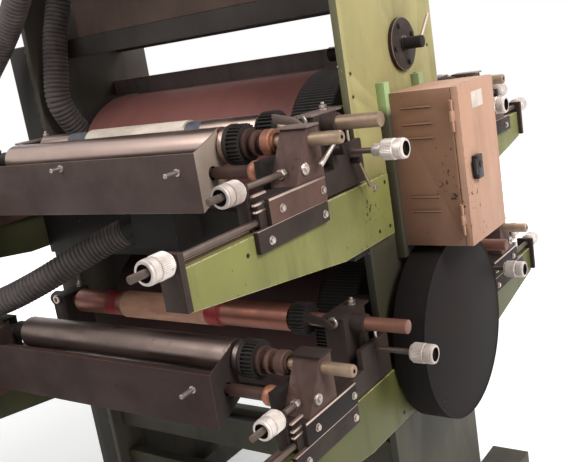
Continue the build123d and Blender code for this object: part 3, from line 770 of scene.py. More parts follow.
    def join(self, other: "Mould") -> None:
        """Take over all that another mould holds.

        Args:
            other: the other mould, which is used up.
        """
        spare = bpy.data.meshes.new("part")
        other.bm.to_mesh(spare)
        other.bm.free()
        self.bm.from_mesh(spare)
        bpy.data.meshes.remove(spare)

    def copy_node(self, node: str, soft: float, cuts: Sequence[float] = (),
                  trim: Trim | None = None) -> None:
        """Add a merged copy of a CAD node, with softened edges in finish 1 and the rest in finish 0.

        Args:
            node: the node's name.
            soft: the width of the bevel.
            cuts: places along X where faces are split.
            trim: changes the copy before its edges are softened.
        """
        self.bm.from_mesh(frame["nodes"][node].data)
        bmesh.ops.remove_doubles(self.bm, verts=self.bm.verts[:], dist=MERGE_DISTANCE)
        bmesh.ops.dissolve_limit(self.bm, angle_limit=FLAT_ANGLE, verts=self.bm.verts[:],
                                 edges=self.bm.edges[:], use_dissolve_boundaries=False, delimit=set())
        if trim:
            trim(self.bm)
        sharp = [edge for edge in self.bm.edges if edge.is_manifold and edge.calc_face_angle() > SHARP_ANGLE]
        bevels = self.soften(sharp, soft)
        self.paint(self.bm.faces, 0)
        self.paint((face for face in bevels if face.is_valid), 1)
        for x in cuts:
            bmesh.ops.bisect_plane(self.bm, geom=self.everything(), plane_co=(x, 0, 0), plane_no=(1, 0, 0))

    def pick(self, rule: Rule) -> None:
        """Give each face a finish by a rule.

        Args:
            rule: finds the finish from the face's middle, its normal and the finish that it has.
        """
        for face in self.bm.faces:
            face.material_index = rule(face.calc_center_median(), face.normal, face.material_index)

    def piece(self, name: str, node: str, finishes: Sequence[Finish], stands: bool = False) -> bpy.types.Object:
        """Turn the mesh into a finished piece.

        Args:
            name: the piece's name.
            node: the CAD node whose body it rides on and whose material slot it takes.
            finishes: the finishes, in the order of their numbers.
            stands: whether it stands for that node.

        Returns:
            The piece's object.
        """
        for face in self.bm.faces:
            face.smooth = True
        for edge in self.bm.edges:
            edge.smooth = edge.is_manifold and edge.calc_face_angle() < SHARP_ANGLE
        mesh = bpy.data.meshes.new(name)
        self.bm.to_mesh(mesh)
        self.bm.free()
        for finish in finishes:
            mesh.materials.append(material_of(finish))
        made = bpy.data.objects.new(name, mesh)
        bpy.context.scene.collection.objects.link(made)
        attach(made, BODY_OF[node])
        if stands:
            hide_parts(node)
        LOG.info("%s: %d faces on %s", name, len(mesh.polygons), BODY_OF[node])
        return made

    def skin(self, node: str, finishes: Sequence[Finish]) -> None:
        """Turn the mesh into the piece that stands for a CAD node, in the given finishes."""
        self.piece(node + "_skin", node, finishes, True)


def dress(node: str, finishes: Sequence[Finish], soft: float = 0.0015, rule: Rule | None = None,
          cuts: Sequence[float] = (), trim: Trim | None = None) -> None:
    """Replace a CAD node by its softened copy.

    Args:
        node: the node's name.
        finishes: the finish of its faces, the finish of its edges, and those that the rule names.
        soft: the width of the bevel.
        rule: finds a face's finish from its middle, its normal and the finish that it has.
        cuts: places along X where faces are split.
        trim: changes the copy before its edges are softened.
    """
    mould = Mould()
    mould.copy_node(node, soft, cuts, trim)
    if rule:
        mould.pick(rule)
    mould.skin(node, finishes)


@dataclass(frozen=True)
class Knob:
    """A knurled knob with a hollow nose, its sizes taken outwards from its back face."""

    flutes: int = 44
    radius: float = 0.025
    root_share: float = 0.955
    start: float = 0.006
    end: float = 0.036
    soft: float = 0.0012
    boss: Pairs = ((0.0, 0.0), (0.0, 0.019), (0.001, 0.0205), (0.006, 0.0205), (0.0065, 0.0))
    nose: Pairs = ((0.036, 0.0215), (0.039, 0.0215), (0.041, 0.0242), (0.0545, 0.0242), (0.0555, 0.0225),
                   (0.057, 0.0225), (0.058, 0.0238), (0.061, 0.0225), (0.062, 0.0195), (0.0615, 0.0172),
                   (0.0525, 0.0162))
    mouth_radius: float = 0.0171
    mouth_start: float = 0.050

    def add(self, mould: Mould, axis: Axis, back: float, outward: float, centre: Point) -> None:
        """Add the knob to a mould, with the inside of its nose in finish 1, for painted shade.

        Args:
            mould: the mould.
            axis: the knob's direction.
            back: the place of its back face.
            outward: 1 or -1, the way that its nose points.
            centre: a point on its line.
        """
        def along(profile: Pairs) -> Pairs:
            """A profile's distances from the back face as places on the axis."""
            return tuple((back + outward * distance, radius) for distance, radius in profile)

        mould.turned(axis, centre, along(self.boss), 36)
        sides = 2 * self.flutes
        drawn = axis.placing(centre).inverted()
        ring = mould.rod(axis, back + outward * self.start, back + outward * self.end, self.radius, centre,
                         sides, 0.0)
        mould.sink(ring, drawn, sides, (1,), self.root_share)
        caps = {face for vert in ring for face in vert.link_faces if len(face.verts) > 4}
        mould.soften({edge for face in caps for edge in face.edges}, self.soft, 1)
        before = set(mould.bm.faces)
        mould.spindle(axis, centre, along(self.nose))
        # Faces inside the nose's mouth take finish 1: painted shade.
        for face in set(mould.bm.faces) - before:
            middle = drawn @ face.calc_center_median()
            if middle.xy.length < self.mouth_radius and outward * (middle.z - back) > self.mouth_start:
                face.material_index = 1


@dataclass(frozen=True)
class Screw:
    """A threaded bar along Y with a knurled knob at its outer end."""

    centre: Point
    inner: float
    radius: float = 0.008
    knob_gap: float = 0.003
    tail_start: float = 0.050
    tail_end: float = 0.096
    knob: Knob = Knob()

    def add(self, bars: Mould, knobs: Mould, face: float) -> None:
        """Add the bar to one mould and its knob to another.

        Args:
            bars: the mould of the bars.
            knobs: the mould of the knobs.
            face: the place of the plate that the knob stands before.
        """
        back = face - self.knob_gap
        bars.rod(Axis.Y, back - self.tail_start, self.inner, self.radius, self.centre, 24)
        bars.thread(Axis.Y, back - self.tail_start, back - self.tail_end, self.radius, self.centre)
        self.knob.add(knobs, Axis.Y, back, -1.0, self.centre)


@dataclass(frozen=True)
class Deck:
    """One of the four print decks and its place."""

    side: Side
    level: Level

    @property
    def tag(self) -> str:
        """The ending of the deck's node and body names."""
        return f"_{self.side.value}_{self.level.value}"

    @property
    def upper(self) -> bool:
        """Whether the deck prints on the upper drum."""
        return self.level is Level.UPPER

    @property
    def place(self) -> Matrix:
        """From a front deck's lines, with its way line at height 0, to this deck."""
        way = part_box("arms_" + self.level.value)[1].z
        flip = Matrix.Scale(-1, 4, (0, 1, 0)) if self.side is Side.BACK else Matrix.Identity(4)
        return Matrix.Translation((0, 0, way)) @ flip

    @property
    def both_hands(self) -> list[Matrix]:
        """The deck's place for the operator side and the drive side."""
        return [self.place @ hand for hand in HANDS]


@dataclass(frozen=True)
class Lamp:
    """A square soft lamp that shines on a point."""

    name: str
    place: Point
    target: Point
    size: float
    power: float

    def hang(self) -> None:
        """Add the lamp to the scene."""
        data = bpy.data.lights.new(self.name, "AREA")
        data.size = self.size
        data.energy = self.power
        lamp = bpy.data.objects.new(self.name, data)
        lamp.location = self.place
        way = Vector(self.target) - Vector(self.place)
        lamp.rotation_euler = way.to_track_quat("-Z", "Y").to_euler()
        bpy.context.scene.collection.objects.link(lamp)


@dataclass
class Studio:
    """Camera, lamps, floor and background."""

    eye: Point = (1.580, -1.930, 1.600)
    azimuth: float = 36.686
    elevation: float = 13.076
    roll: float = 9.218
    lens: float = 50.1
    sensor: float = 36.0
    floor_size: float = 14.0
    ambient: float = 0.22
    floor_glow: float = 0.38
    floor_near: float = 1.5
    floor_far: float = 3.8
    lamps: tuple[Lamp, ...] = (Lamp("key", (4.4, -0.7, 4.2), (0.2, -0.2, 1.2), 2.0, 235.0),
                               Lamp("fill", (-1.2, -2.8, 4.4), (-0.1, -0.2, 1.3), 2.8, 75.0),
                               Lamp("rear", (1.2, 2.6, 4.2), (0.0, 0.0, 1.2), 2.6, 80.0))

    def camera(self) -> None:
        """Aim the camera as the photograph was taken."""
        azimuth, elevation, roll = [math.radians(a) for a in (self.azimuth, self.elevation, self.roll)]
        forward = Vector((-math.sin(azimuth) * math.cos(elevation),
                          math.cos(azimuth) * math.cos(elevation), -math.sin(elevation)))
        level = Vector((math.cos(azimuth), math.sin(azimuth), 0.0))
        down = forward.cross(level)
        across = level * math.cos(roll) + down * math.sin(roll)
        upright = level * math.sin(roll) - down * math.cos(roll)
        matrix = Matrix((across, upright, -forward)).transposed().to_4x4()
        matrix.translation = self.eye
        data = bpy.data.cameras.new("camera")
        data.lens = self.lens
        data.sensor_width = self.sensor
        eye = bpy.data.objects.new("camera", data)
        eye.matrix_world = matrix
        bpy.context.scene.collection.objects.link(eye)
        bpy.context.scene.camera = eye

    def background(self) -> None:
        """White behind the press and in its reflections, plain ambient light on it."""
        world = bpy.data.worlds.new("world")
        bpy.context.scene.world = world
        world.use_nodes = True
        tree = world.node_tree
        strength = tree.nodes.new("ShaderNodeMapRange")
        tree.links.new(in_sight(tree), strength.inputs["Value"])
        strength.inputs["To Min"].default_value = self.ambient
        strength.inputs["To Max"].default_value = 1.0
        tree.links.new(strength.outputs[0], tree.nodes["Background"].inputs["Strength"])
        tree.nodes["Background"].inputs["Color"].default_value = (1.0, 1.0, 1.0, 1.0)
        bpy.context.scene.view_settings.view_transform = "Standard"

    def floor_material(self) -> bpy.types.Material:
        """Pale floor paint that fades to the white of the background away from the press.

        Returns:
            The floor's material.
        """
        recipe = Recipe("floor_paint")
        colour = recipe.blend(recipe.noise(1.5, 3.0), (0.86, 0.855, 0.845), (0.9, 0.895, 0.885))
        away = recipe.node("ShaderNodeVectorMath", {0: recipe.place}, operation="LENGTH").outputs["Value"]
        glow = recipe.limits(away, self.floor_near, self.floor_far, self.floor_glow, 1.0)
        recipe.feed(recipe.shader.inputs["Emission Color"], (1.0, 1.0, 1.0))
        recipe.feed(recipe.shader.inputs["Emission Strength"],
                    recipe.sums("MULTIPLY", in_sight(recipe.tree), glow))
        return recipe.finish(colour, 0.85, 0.0, recipe.noise(80.0, 3.0), 0.0002, 0.1)

    def build(self) -> None:
        """Set up the whole studio."""
        self.camera()
        for lamp in self.lamps:
            lamp.hang()
        self.background()
        mesh = bpy.data.meshes.new("floor")
        bm = bmesh.new()
        bmesh.ops.create_grid(bm, x_segments=1, y_segments=1, size=self.floor_size / 2)
        bm.to_mesh(mesh)
        bm.free()
        mesh.materials.append(self.floor_material())
        floor = bpy.data.objects.new("floor", mesh)
        bpy.context.scene.collection.objects.link(floor)


@dataclass
class Housing:
    """Side frames, base, ties, beams, the rail and the drive guard."""

    # The left side frame takes a darker paint: painted shade.
    plates: tuple = (("side_frame_left", SHADED_LEFT_FRAME, 0.002), ("base_rails", BASE_PAINT, 0.003),
                     ("base_sill", BASE_PAINT, 0.003), ("cross_ties", BASE_PAINT, 0.003),
                     ("upper_beams", BEAM_PAINT, 0.003))
    lip_ends: tuple[float, float] = (-0.448, 0.358)
    lip_drop: float = 0.010
    lip_seat: float = 0.002
    lip_thickness: float = 0.004

    def build(self) -> None:
        """Dress the plates and bars of the housing."""
        # Faces of the right frame that look front or back take the darker paint: painted shade.
        dress("side_frame_right", (*FRAME_PAINT.worn(), SHADED_FRAME_RIM), 0.002,
              lambda middle, normal, finish: 2 if abs(normal.y) > 0.9 and not finish else finish)
        for node, paint, soft in self.plates:
            dress(node, paint.worn(), soft)
        self.rail()
        dress("drive_guard", GUARD_PAINT.worn(), 0.004)

    def rail(self) -> None:
        """Dress the rail over the upper drum and add the lip that closes its gap to the drum."""
        dress("drum_rail", (RAIL_PAINT, RAIL_RUST), 0.003,
              lambda middle, normal, finish: 1 if normal.z > 0.3 or finish else 0)
        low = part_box("drum_rail")[0]
        start, end = self.lip_ends
        lip = Mould()
        lip.block((start, low.y, low.z - self.lip_drop),
                  (end, low.y + self.lip_thickness, low.z + self.lip_seat))
        lip.piece("rail_lip", "drum_rail", (RAIL_PAINT,))


@dataclass
class Drums:
    """Both impression drums with their toothed rims."""

    drum_end: float = 0.5
    journal_start: float = 0.52
    journal_share: float = 0.98
    screw_count: int = 8
    screw_circle: float = 0.55
    screw_head: tuple[float, float] = (0.009, 0.011)

    def build(self) -> None:
        """Dress the drums and rims."""
        for level in Level:
            node = "drum_" + level.value
            gear = "drum_gear_" + level.value
            low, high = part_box(node)
            # The lower drum's coat is painted darker than the upper one: painted shade.
            coat, rim = (DRUM_COAT, RIM_STEEL) if level is Level.UPPER else (SHADED_LOWER_DRUM, GEAR_STEEL)
            mould = Mould()
            mould.copy_node(node, 0.002)
            journals = [vert for vert in mould.bm.verts if abs(vert.co.x) > self.journal_start]
            bmesh.ops.scale(mould.bm, vec=(1.0, self.journal_share, self.journal_share), verts=journals,
                            space=Matrix.Translation((0.0, 0.0, -(low.z + high.z) / 2)))
            mould.pick(lambda middle, normal, finish: 0 if abs(middle.x) < self.drum_end else 1)
            mould.skin(node, (coat, SHAFT_STEEL))
            dress(gear, (rim, rim), 0.0004)
            self.rim_bolts(gear, (high.z - low.z) / 2)

    def rim_bolts(self, gear: str, radius: float) -> None:
        """Add the ring of cap screws on a rim's outer face.

        Args:
            gear: the node of the toothed rim.
            radius: the drum's radius.
        """
        low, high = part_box(gear)
        reach = self.screw_circle * radius
        mould = Mould()
        for step in range(self.screw_count):
            turn = math.tau * (step + 0.5) / self.screw_count
            centre = (0.0, reach * math.cos(turn), (low.z + high.z) / 2 + reach * math.sin(turn))
            mould.bolt(Axis.X, high.x, *self.screw_head, centre)
        mould.piece(gear + "_screws", gear, (GEAR_STEEL,))


@dataclass
class DeckArms:
    """The arms of both levels with their ways, gibs, tip plates and lead screws."""

    root_bolts: Pairs = ((-0.228, -0.019),)
    root_head: tuple[float, float] = (0.007, 0.0085)
    gib_bolts: Pairs = ((-0.686, -0.021), (-0.480, -0.021))
    gib_head: tuple[float, float] = (0.006, 0.0075)
    studs: Pairs = ((-0.755, -0.033), (-0.228, -0.134), (-0.172, -0.019), (-0.172, -0.134))
    stud_radius: float = 0.005
    stud_rise: float = 0.0008
    arm_face: float = 0.600
    gib_face: float = 0.612
    screw: Screw = Screw((0.588, 0.0, 0.018), -0.560)

    def plates(self, level: Level) -> None:
        """Dress the arms, ways and gibs of one level.

        Args:
            level: the level.
        """
        # The lower level's arms and the left arms of both levels take darker paints: painted shade.
        paint = ARM_PAINT if level is Level.UPPER else SHADED_ARM
        dress("arms_" + level.value, (paint, ARM_EDGE, SHADED_LEFT_ARM), 0.002,
              lambda middle, normal, finish: finish if middle.x > 0 else 2)
        dress("slideways_" + level.value, (DARK_STEEL, RUST_STEEL, WAY_STEEL), 0.0012,
              lambda middle, normal, finish: 2 if normal.z > 0.3 else
              (0 if abs(middle.x) > self.arm_face - FACE_SLACK else 1))

    def fixings(self, level: Level) -> None:
        """Add the bolts of the arms and gibs of one level.

        Args:
            level: the level.
        """
        bolts = Mould()
        for y, z in self.root_bolts:
            bolts.bolt(Axis.X, self.arm_face, *self.root_head, (0, y, z))
        for y, z in self.gib_bolts:
            bolts.bolt(Axis.X, self.gib_face, *self.gib_head, (0, y, z))
        places = [place for side in Side for place in Deck(side, level).both_hands]
        bolts.spread(places)
        bolts.piece("arm_bolts_" + level.value, "slideways_" + level.value, (BOLT_STEEL,))
        sunk = Mould()
        for y, z in self.studs:
            sunk.rod(Axis.X, self.arm_face - FACE_SLACK, self.arm_face + self.stud_rise, self.stud_radius,
                     (0, y, z), 20, self.stud_rise / 2)
        sunk.spread(places[:2])
        sunk.piece("arm_studs_" + level.value, "arms_" + level.value, (SOOT_AND_SHADE_STEEL,))

    def lead_screws(self) -> None:
        """Replace the lead screws by threaded bars with knurled knobs."""
        bars, knobs = Mould(), Mould()
        low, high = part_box("tip_plates")
        for side, face in ((Side.FRONT, low.y), (Side.BACK, -high.y)):
            bar, knob = Mould(), Mould()
            self.screw.add(bar, knob, face)
            for part, whole in ((bar, bars), (knob, knobs)):
                part.spread([place for level in Level for place in Deck(side, level).both_hands])
                whole.join(part)
        bars.piece("lead_screw_bars", "lead_screws", (SCREW_STEEL,), True)
        knobs.piece("lead_screw_knobs", "lead_screws", (KNOB_METAL, HOLLOW_SHADE), True)

    def build(self) -> None:
        """Dress and complete the arms of both levels."""
        for level in Level:
            self.plates(level)
            self.fixings(level)
        dress("tip_plates", (DARK_STEEL, RUST_STEEL))
        self.lead_screws()


@dataclass
class PlateCarriage:
    """A deck's plate carriage with its gib bolts, straps, clamps, ink screws and register knob."""

    deck: Deck
    gib_face: float = 0.612
    gib_bolts: Pairs = ((-0.634, 0.033), (-0.474, 0.033))
    gib_head: tuple[float, float] = (0.006, 0.0075)
    end_face: float = -0.712
    end_sides: tuple[float, float] = (0.556, 0.585)
    end_heights: tuple[float, float] = (0.002, 0.100)
    cut: float = 0.6997
    gib_lip: tuple[Point, Point] = ((0.611, -0.6755, 0.0575), (0.6136, -0.461, 0.0625))
    strip_low: tuple[float, float] = (0.594, -0.710)
    strip_high: tuple[float, float] = (0.6015, -0.665)
    strip_heights: Pairs = ((0.0735, 0.0785), (0.0545, 0.0595), (0.040, 0.0445))
    cap_low: Point = (0.492, -0.391, 0.185)
    cap_high: Point = (0.5545, -0.281, 0.190)
    cap_bolt: Point = (0.525, -0.290, 0.0)
    cap_head: tuple[float, float] = (0.012, 0.0095)
    cap_stud: tuple[float, float] = (0.007, 0.0045)
    cap_tail: float = -0.218
    tail_overlap: float = 0.002
    tail_drop: float = 0.0002
    plug: Point = (0.527, 0.0, 0.178)
    plug_profile: Pairs = ((-0.384, 0.013), (-0.392, 0.0145), (-0.395, 0.013), (-0.3945, 0.008),
                           (-0.388, 0.0075))
    strap: Pairs = ((0.203, 0.452), (0.190, 0.512), (0.174, 0.534), (0.160, 0.528), (0.172, 0.510),
                    (0.180, 0.452))
    strap_faces: tuple[float, float] = (-0.4045, -0.3945)
    pin: tuple[float, float, float, Point] = (0.111, 0.138, 0.0045, (0.593, -0.308, 0.0))
    hub_radius: float = 0.008
    hubs: tuple = ((0.622, (0, -0.316, 0.067)), (0.631, (0, -0.388, 0.102)))
    handles: tuple = (((0.617, -0.316, 0.071), (0.624, -0.286, -0.004), 0.0035, 0.0045, 3),
                      ((0.627, -0.388, 0.100), (0.630, -0.411, 0.137), 0.0045, 0.004, 1),
                      ((0.630, -0.409, 0.137), (0.630, -0.499, 0.092), 0.0038, 0.0068, 0))
    ink_screw: Screw = Screw((0.572, 0.0, 0.090), -0.540)
    register: Point = (0.0, -0.325, 0.090)
    register_radius: float = 0.007
    register_back: float = 0.690
    register_clear: float = 0.700
    rod_overlap: float = 0.002
    collar: Pairs = ((0.668, 0.0135), (0.670, 0.015), (0.690, 0.015))
    cheek_face: float = 0.600

    @property
    def node(self) -> str:
        """The name of the carriage's node."""
        return "plate_carriage" + self.deck.tag

    @property
    def strap_steel(self) -> Machined:
        """The straps' metal, which is darker on a lower deck."""
        return EDGE_STEEL if self.deck.upper else DARK_STEEL

    def cut_front(self, bm: bmesh.types.BMesh) -> None:
        """Cut the end plates off a copy of the carriage.

        Args:
            bm: the copy's mesh.
        """
        out = -1.0 if self.deck.side is Side.FRONT else 1.0
        bmesh.ops.bisect_plane(bm, geom=bm.verts[:] + bm.edges[:] + bm.faces[:], clear_outer=True,
                               plane_co=(0, out * self.cut, 0), plane_no=(0, out, 0))
        bmesh.ops.holes_fill(bm, edges=[edge for edge in bm.edges if edge.is_boundary], sides=0)

    def castings(self) -> None:
        """Dress the saddle, gibs and bearing block, and add narrower end plates."""
        way = self.deck.place.translation.z
        # A lower deck's gibs take the near-black steel: painted shade.
        dress(self.node, (DARK_STEEL, RUST_STEEL, GIB_STEEL if self.deck.upper else SOOT_AND_SHADE_STEEL),
              rule=lambda middle, normal, finish: 2 if abs(middle.x) > self.gib_face - FACE_SLACK and
              middle.z > way and not finish else finish, trim=self.cut_front)
        (start, end), (low, high) = self.end_sides, self.end_heights
        plates = Mould()
        plates.block((start, self.end_face, low), (end, -self.cut, high), 0.0015)
        plates.spread(self.deck.both_hands)
        plates.piece("end_plates" + self.deck.tag, self.node, (DARK_STEEL,), True)

    def fixings(self) -> None:
        """Add gib bolts, the bright guide strips and the cap on the bearing block."""
        mould = Mould()
        for y, z in self.gib_bolts:
            mould.bolt(Axis.X, self.gib_face, *self.gib_head, (0, y, z))
        for low, high in self.strip_heights:
            mould.block((*self.strip_low, low), (*self.strip_high, high), 0.0006, 1)
        mould.block(*self.gib_lip, 0.0006, 1)
        head_top = self.cap_high[2] + self.cap_head[0]
        rise, radius = self.cap_stud
        mould.bolt(Axis.Z, self.cap_high[2], *self.cap_head, self.cap_bolt)
        mould.rod(Axis.Z, head_top, head_top + rise, radius, self.cap_bolt, 20, 0.001)
        mould.block(self.cap_low, self.cap_high, 0.001, 2)
        mould.spindle(Axis.Y, self.plug, self.plug_profile, 28)
        mould.spread(self.deck.both_hands)
        mould.piece("carriage_fixings" + self.deck.tag, self.node, (BOLT_STEEL, WAY_STEEL, self.strap_steel))

    def clamps(self) -> None:
        """Add the strap and the clamp handles of the operator side."""
        mould = Mould()
        mould.block((self.cap_low[0], self.cap_high[1] - self.tail_overlap, self.cap_low[2]),
                    (self.cap_high[0], self.cap_tail, self.cap_high[2] - self.tail_drop), 0.001, 2)
        mould.slab(Axis.Y, *self.strap_faces, self.strap, 0.001, 2)
        mould.rod(Axis.Z, *self.pin, 20, 0.001)
        if self.deck.upper:
            for end, centre in self.hubs:
                mould.rod(Axis.X, self.cheek_face, end, self.hub_radius, centre, 24, 0.001, 1)
            for handle in self.handles:
                mould.stick(*handle)
        mould.spread([self.deck.place])
        mould.piece("carriage_clamps" + self.deck.tag, self.node,
                    (BOLT_STEEL, SOOT_AND_SHADE_STEEL, self.strap_steel, SHAFT_STEEL))

    def knobs(self) -> None:
        """Replace the ink screws and the register rod by turned ones with knurled knobs."""
        node = "deck_knobs" + self.deck.tag
        bars, knobs = Mould(), Mould()
        self.ink_screw.add(bars, knobs, self.end_face)
        for mould in (bars, knobs):
            mould.spread(HANDS)
        back, rod_end = self.register_clear, self.register_clear + self.rod_overlap
        if self.deck.upper:
            back, rod_end = self.register_back, self.collar[0][0] + 2 * self.rod_overlap
            knobs.spindle(Axis.X, self.register, self.collar, 36)
        bars.spindle(Axis.X, self.register, ((self.cheek_face, self.register_radius),
                                             (rod_end, self.register_radius)), 24)
        Knob().add(knobs, Axis.X, back, 1.0, self.register)
        for mould in (bars, knobs):
            mould.spread([self.deck.place])
        bars.piece("deck_screws" + self.deck.tag, node, (SCREW_STEEL,), True)
        knobs.piece("deck_knurls" + self.deck.tag, node, (KNOB_METAL, HOLLOW_SHADE), True)

    def build(self) -> None:
        """Dress the carriage and add its fittings."""
        self.castings()
        self.fixings()
        self.clamps()
        self.knobs()


@dataclass
class PlateCylinder:
    """A deck's plate cylinder with its mounted plate and tapes."""

    deck: Deck
    bare_end: float = -0.458
    plate_start: float = -0.248
    plate_end: float = 0.134
    core_end: float = 0.374
    gear_start: float = 0.382
    gear_end: float = 0.427
    shaft_radius: float = 0.018
    upper_tapes: Pairs = ((-0.330, -0.252), (0.138, 0.191))
    lower_tapes: Pairs = ((-0.320, -0.274), (0.090, 0.148))
    upper_skins: tuple[Finish, ...] = (ROLLER_STEEL, PLATE_SHEET, TAPE_BLUE, GEAR_STEEL, SHAFT_STEEL)
    lower_skins: tuple[Finish, ...] = (COPPER_SKIN, BEIGE_PLATE, TAPE_RED, GEAR_STEEL, DULL_COPPER)

    def build(self) -> None:
        """Dress the cylinder by its zones."""
        node = "plate_cylinder" + self.deck.tag
        tapes = self.upper_tapes if self.deck.upper else self.lower_tapes
        low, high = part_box(node)

        def zone(middle: Vector, normal: Vector, finish: int) -> int:
            """Find a face's finish by its place along the cylinder.

            Args:
                middle: the face's middle.
                normal: its normal.
                finish: the finish that it has.

            Returns:
                Its new finish.
            """
            radius = (middle - (low + high) / 2).yz.length
            if self.gear_start - FACE_SLACK < middle.x < self.gear_end + FACE_SLACK:
                return 3
            inside = self.bare_end - 2 * FACE_SLACK <= middle.x <= self.core_end + 2 * FACE_SLACK
            if not inside or radius < self.shaft_radius:
                return 4
            if any(start < middle.x < end for start, end in tapes) and abs(normal.x) < 0.5:
                return 2
            return 1 if self.plate_start - FACE_SLACK < middle.x < self.plate_end + FACE_SLACK else 0

        dress(node, self.upper_skins if self.deck.upper else self.lower_skins, 0.0008, zone,
              [edge for tape in tapes for edge in tape])


@dataclass
class InkUnit:
    """A deck's ink carriage, trough, anilox and fountain roller.

    A zone of a roller is the number of its finish, how many sides it has and its profile along X.
    A trough's stud is its place along X, its height and its length.
    """

    deck: Deck
    lower_shift: float = -0.085
    cap_low: Point = (0.534, -0.507, 0.177)
    cap_high: Point = (0.616, -0.457, 0.182)
    nut: Point = (0.572, 0.0, 0.090)
    nut_faces: tuple[float, float] = (-0.571, -0.556)
    nut_radius: float = 0.0115
    face_bolt: Point = (0.0, -0.532, 0.093)
    face_bolt_profile: Pairs = ((0.610, 0.0), (0.610, 0.0135), (0.615, 0.0135), (0.617, 0.0115),
                                (0.617, 0.007), (0.6205, 0.0065), (0.621, 0.0))
    left_stud: Point = (-0.086, 0.140, 0.032)
    right_stud: Point = (0.315, 0.114, 0.042)
    stud_head: Pairs = ((0.0, 0.0), (0.0, 0.0095), (-0.003, 0.009), (-0.0035, 0.006))
    stud_tip: Pairs = ((0.0, 0.0058), (-0.0015, 0.0042), (0.0, 0.003), (0.008, 0.0))
    trough_front: float = -0.610
    trough_cheek: float = 0.3735
    ear_end: float = 0.5405
    anilox_axis: Point = (0.0, -0.490, 0.150)
    anilox_zones: tuple = (
        (1, 48, ((-0.622, 0.0135), (-0.6205, 0.015), (-0.480, 0.015), (-0.480, 0.028), (-0.422, 0.028))),
        (0, 96, ((-0.422, 0.042), (-0.420, 0.0445), (-0.417, 0.045), (0.3635, 0.045), (0.365, 0.0435),
                 (0.365, 0.026), (0.379, 0.026), (0.379, 0.0435), (0.3805, 0.045), (0.3945, 0.045),
                 (0.396, 0.0435))),
        (1, 64, ((0.396, 0.0485), (0.3975, 0.0495), (0.4065, 0.0495), (0.408, 0.0485))),
        (5, 48, ((0.438, 0.034), (0.442, 0.0355), (0.4485, 0.0355), (0.450, 0.034), (0.450, 0.022),
                 (0.463, 0.022))),
        (2, 48, ((0.463, 0.0285), (0.465, 0.0295), (0.472, 0.0295), (0.474, 0.0285))),
        (5, 48, ((0.474, 0.020), (0.490, 0.020))),
        (3, 48, ((0.490, 0.028), (0.492, 0.030), (0.512, 0.030), (0.5145, 0.0275), (0.5145, 0.022),
                 (0.520, 0.021))),
        (4, 48, ((0.520, 0.015), (0.6865, 0.015), (0.690, 0.0125), (0.690, 0.0048), (0.686, 0.004))))
    anilox_gear: tuple = (0.408, 0.438, 0.048, 0.0415, 30)
    shaft_hollow: tuple[float, float] = (0.6855, 0.0045)
    fountain_axis: Point = (0.0, -0.556, 0.098)
    fountain_journal: float = 0.011
    fountain_roll: Pairs = ((-0.480, 0.011), (-0.480, 0.0315), (-0.4785, 0.033), (0.3635, 0.033),
                            (0.365, 0.0315), (0.365, 0.011), (0.376, 0.011))
    fountain_zones: tuple = (
        (1, 40, ((0.376, 0.011), (0.384, 0.011), (0.384, 0.014), (0.386, 0.015), (0.486, 0.015))),
        (2, 40, ((0.486, 0.0165), (0.489, 0.0205), (0.494, 0.0235), (0.501, 0.0245), (0.508, 0.0235),
                 (0.513, 0.0205), (0.516, 0.0165))))
    fountain_hub_end: float = 0.516

    @property
    def place(self) -> Matrix:
        """Where the unit's lines go, which is further out on a lower deck."""
        return self.deck.place @ Matrix.Translation((0, 0.0 if self.deck.upper else self.lower_shift, 0))

    def carriage(self) -> None:
        """Dress the ink blocks and add their caps, nuts and bolts."""
        node = "ink_carriage" + self.deck.tag
        dress(node, (BLOCK_STEEL, RUST_STEEL, SOOT_AND_SHADE_STEEL),
              rule=lambda middle, normal, finish: finish if abs(middle.x) > self.ear_end else 2)
        mould = Mould()
        mould.rod(Axis.Y, *self.nut_faces, self.nut_radius, self.nut, 6)
        mould.turned(Axis.X, self.face_bolt, self.face_bolt_profile, 30)
        mould.block(self.cap_low, self.cap_high, 0.001, 1)
        mould.spread([self.place @ hand for hand in HANDS])
        mould.piece("ink_block_fixings" + self.deck.tag, node,
                    (BOLT_STEEL, EDGE_STEEL if self.deck.upper else DARK_STEEL))

    def trough(self) -> None:
        """Dress the sheet trough and add its studs."""
        node = "ink_trough" + self.deck.tag
        # An upper trough's cheek is painted lighter (painted light). A lower trough is painted darker all over
        # (painted shade).
        dress(node, (TROUGH_SHEET, HEM_STEEL, LIT_CHEEK_SHEET) if self.deck.upper
              else (SHADED_LOWER_SHEET, RUST_STEEL, SHADED_LOWER_CHEEK), 0.0009,
              lambda middle, normal, finish: 2 if middle.x > self.trough_cheek and not finish else finish)
        studs = Mould()
        for x, z, length in (self.left_stud, self.right_stud) if self.deck.upper else (self.right_stud,):
            ends = ((self.trough_front, self.stud_head), (self.trough_front - length, self.stud_tip))
            studs.turned(Axis.Y, (x, 0, z), [(end + along, radius) for end, profile in ends
                                             for along, radius in profile], 24)
        studs.spread([self.place])
        studs.piece("trough_studs" + self.deck.tag, node, (BOLT_STEEL,))

    def anilox(self) -> None:
        """Turn the anilox roller with its gear, collars and shaft."""
        mould = Mould()
        for finish, sides, profile in self.anilox_zones:
            mould.spindle(Axis.X, self.anilox_axis, profile, sides, finish)
        mould.teeth(*self.anilox_gear, self.anilox_axis, 1)
        start, radius = self.shaft_hollow
        # The hole in the shaft's end takes finish 6: painted shade.
        mould.pick(lambda middle, normal, finish:
                   6 if middle.x > start and (middle - Vector(self.anilox_axis)).yz.length < radius else finish)
        mould.spread([self.place])
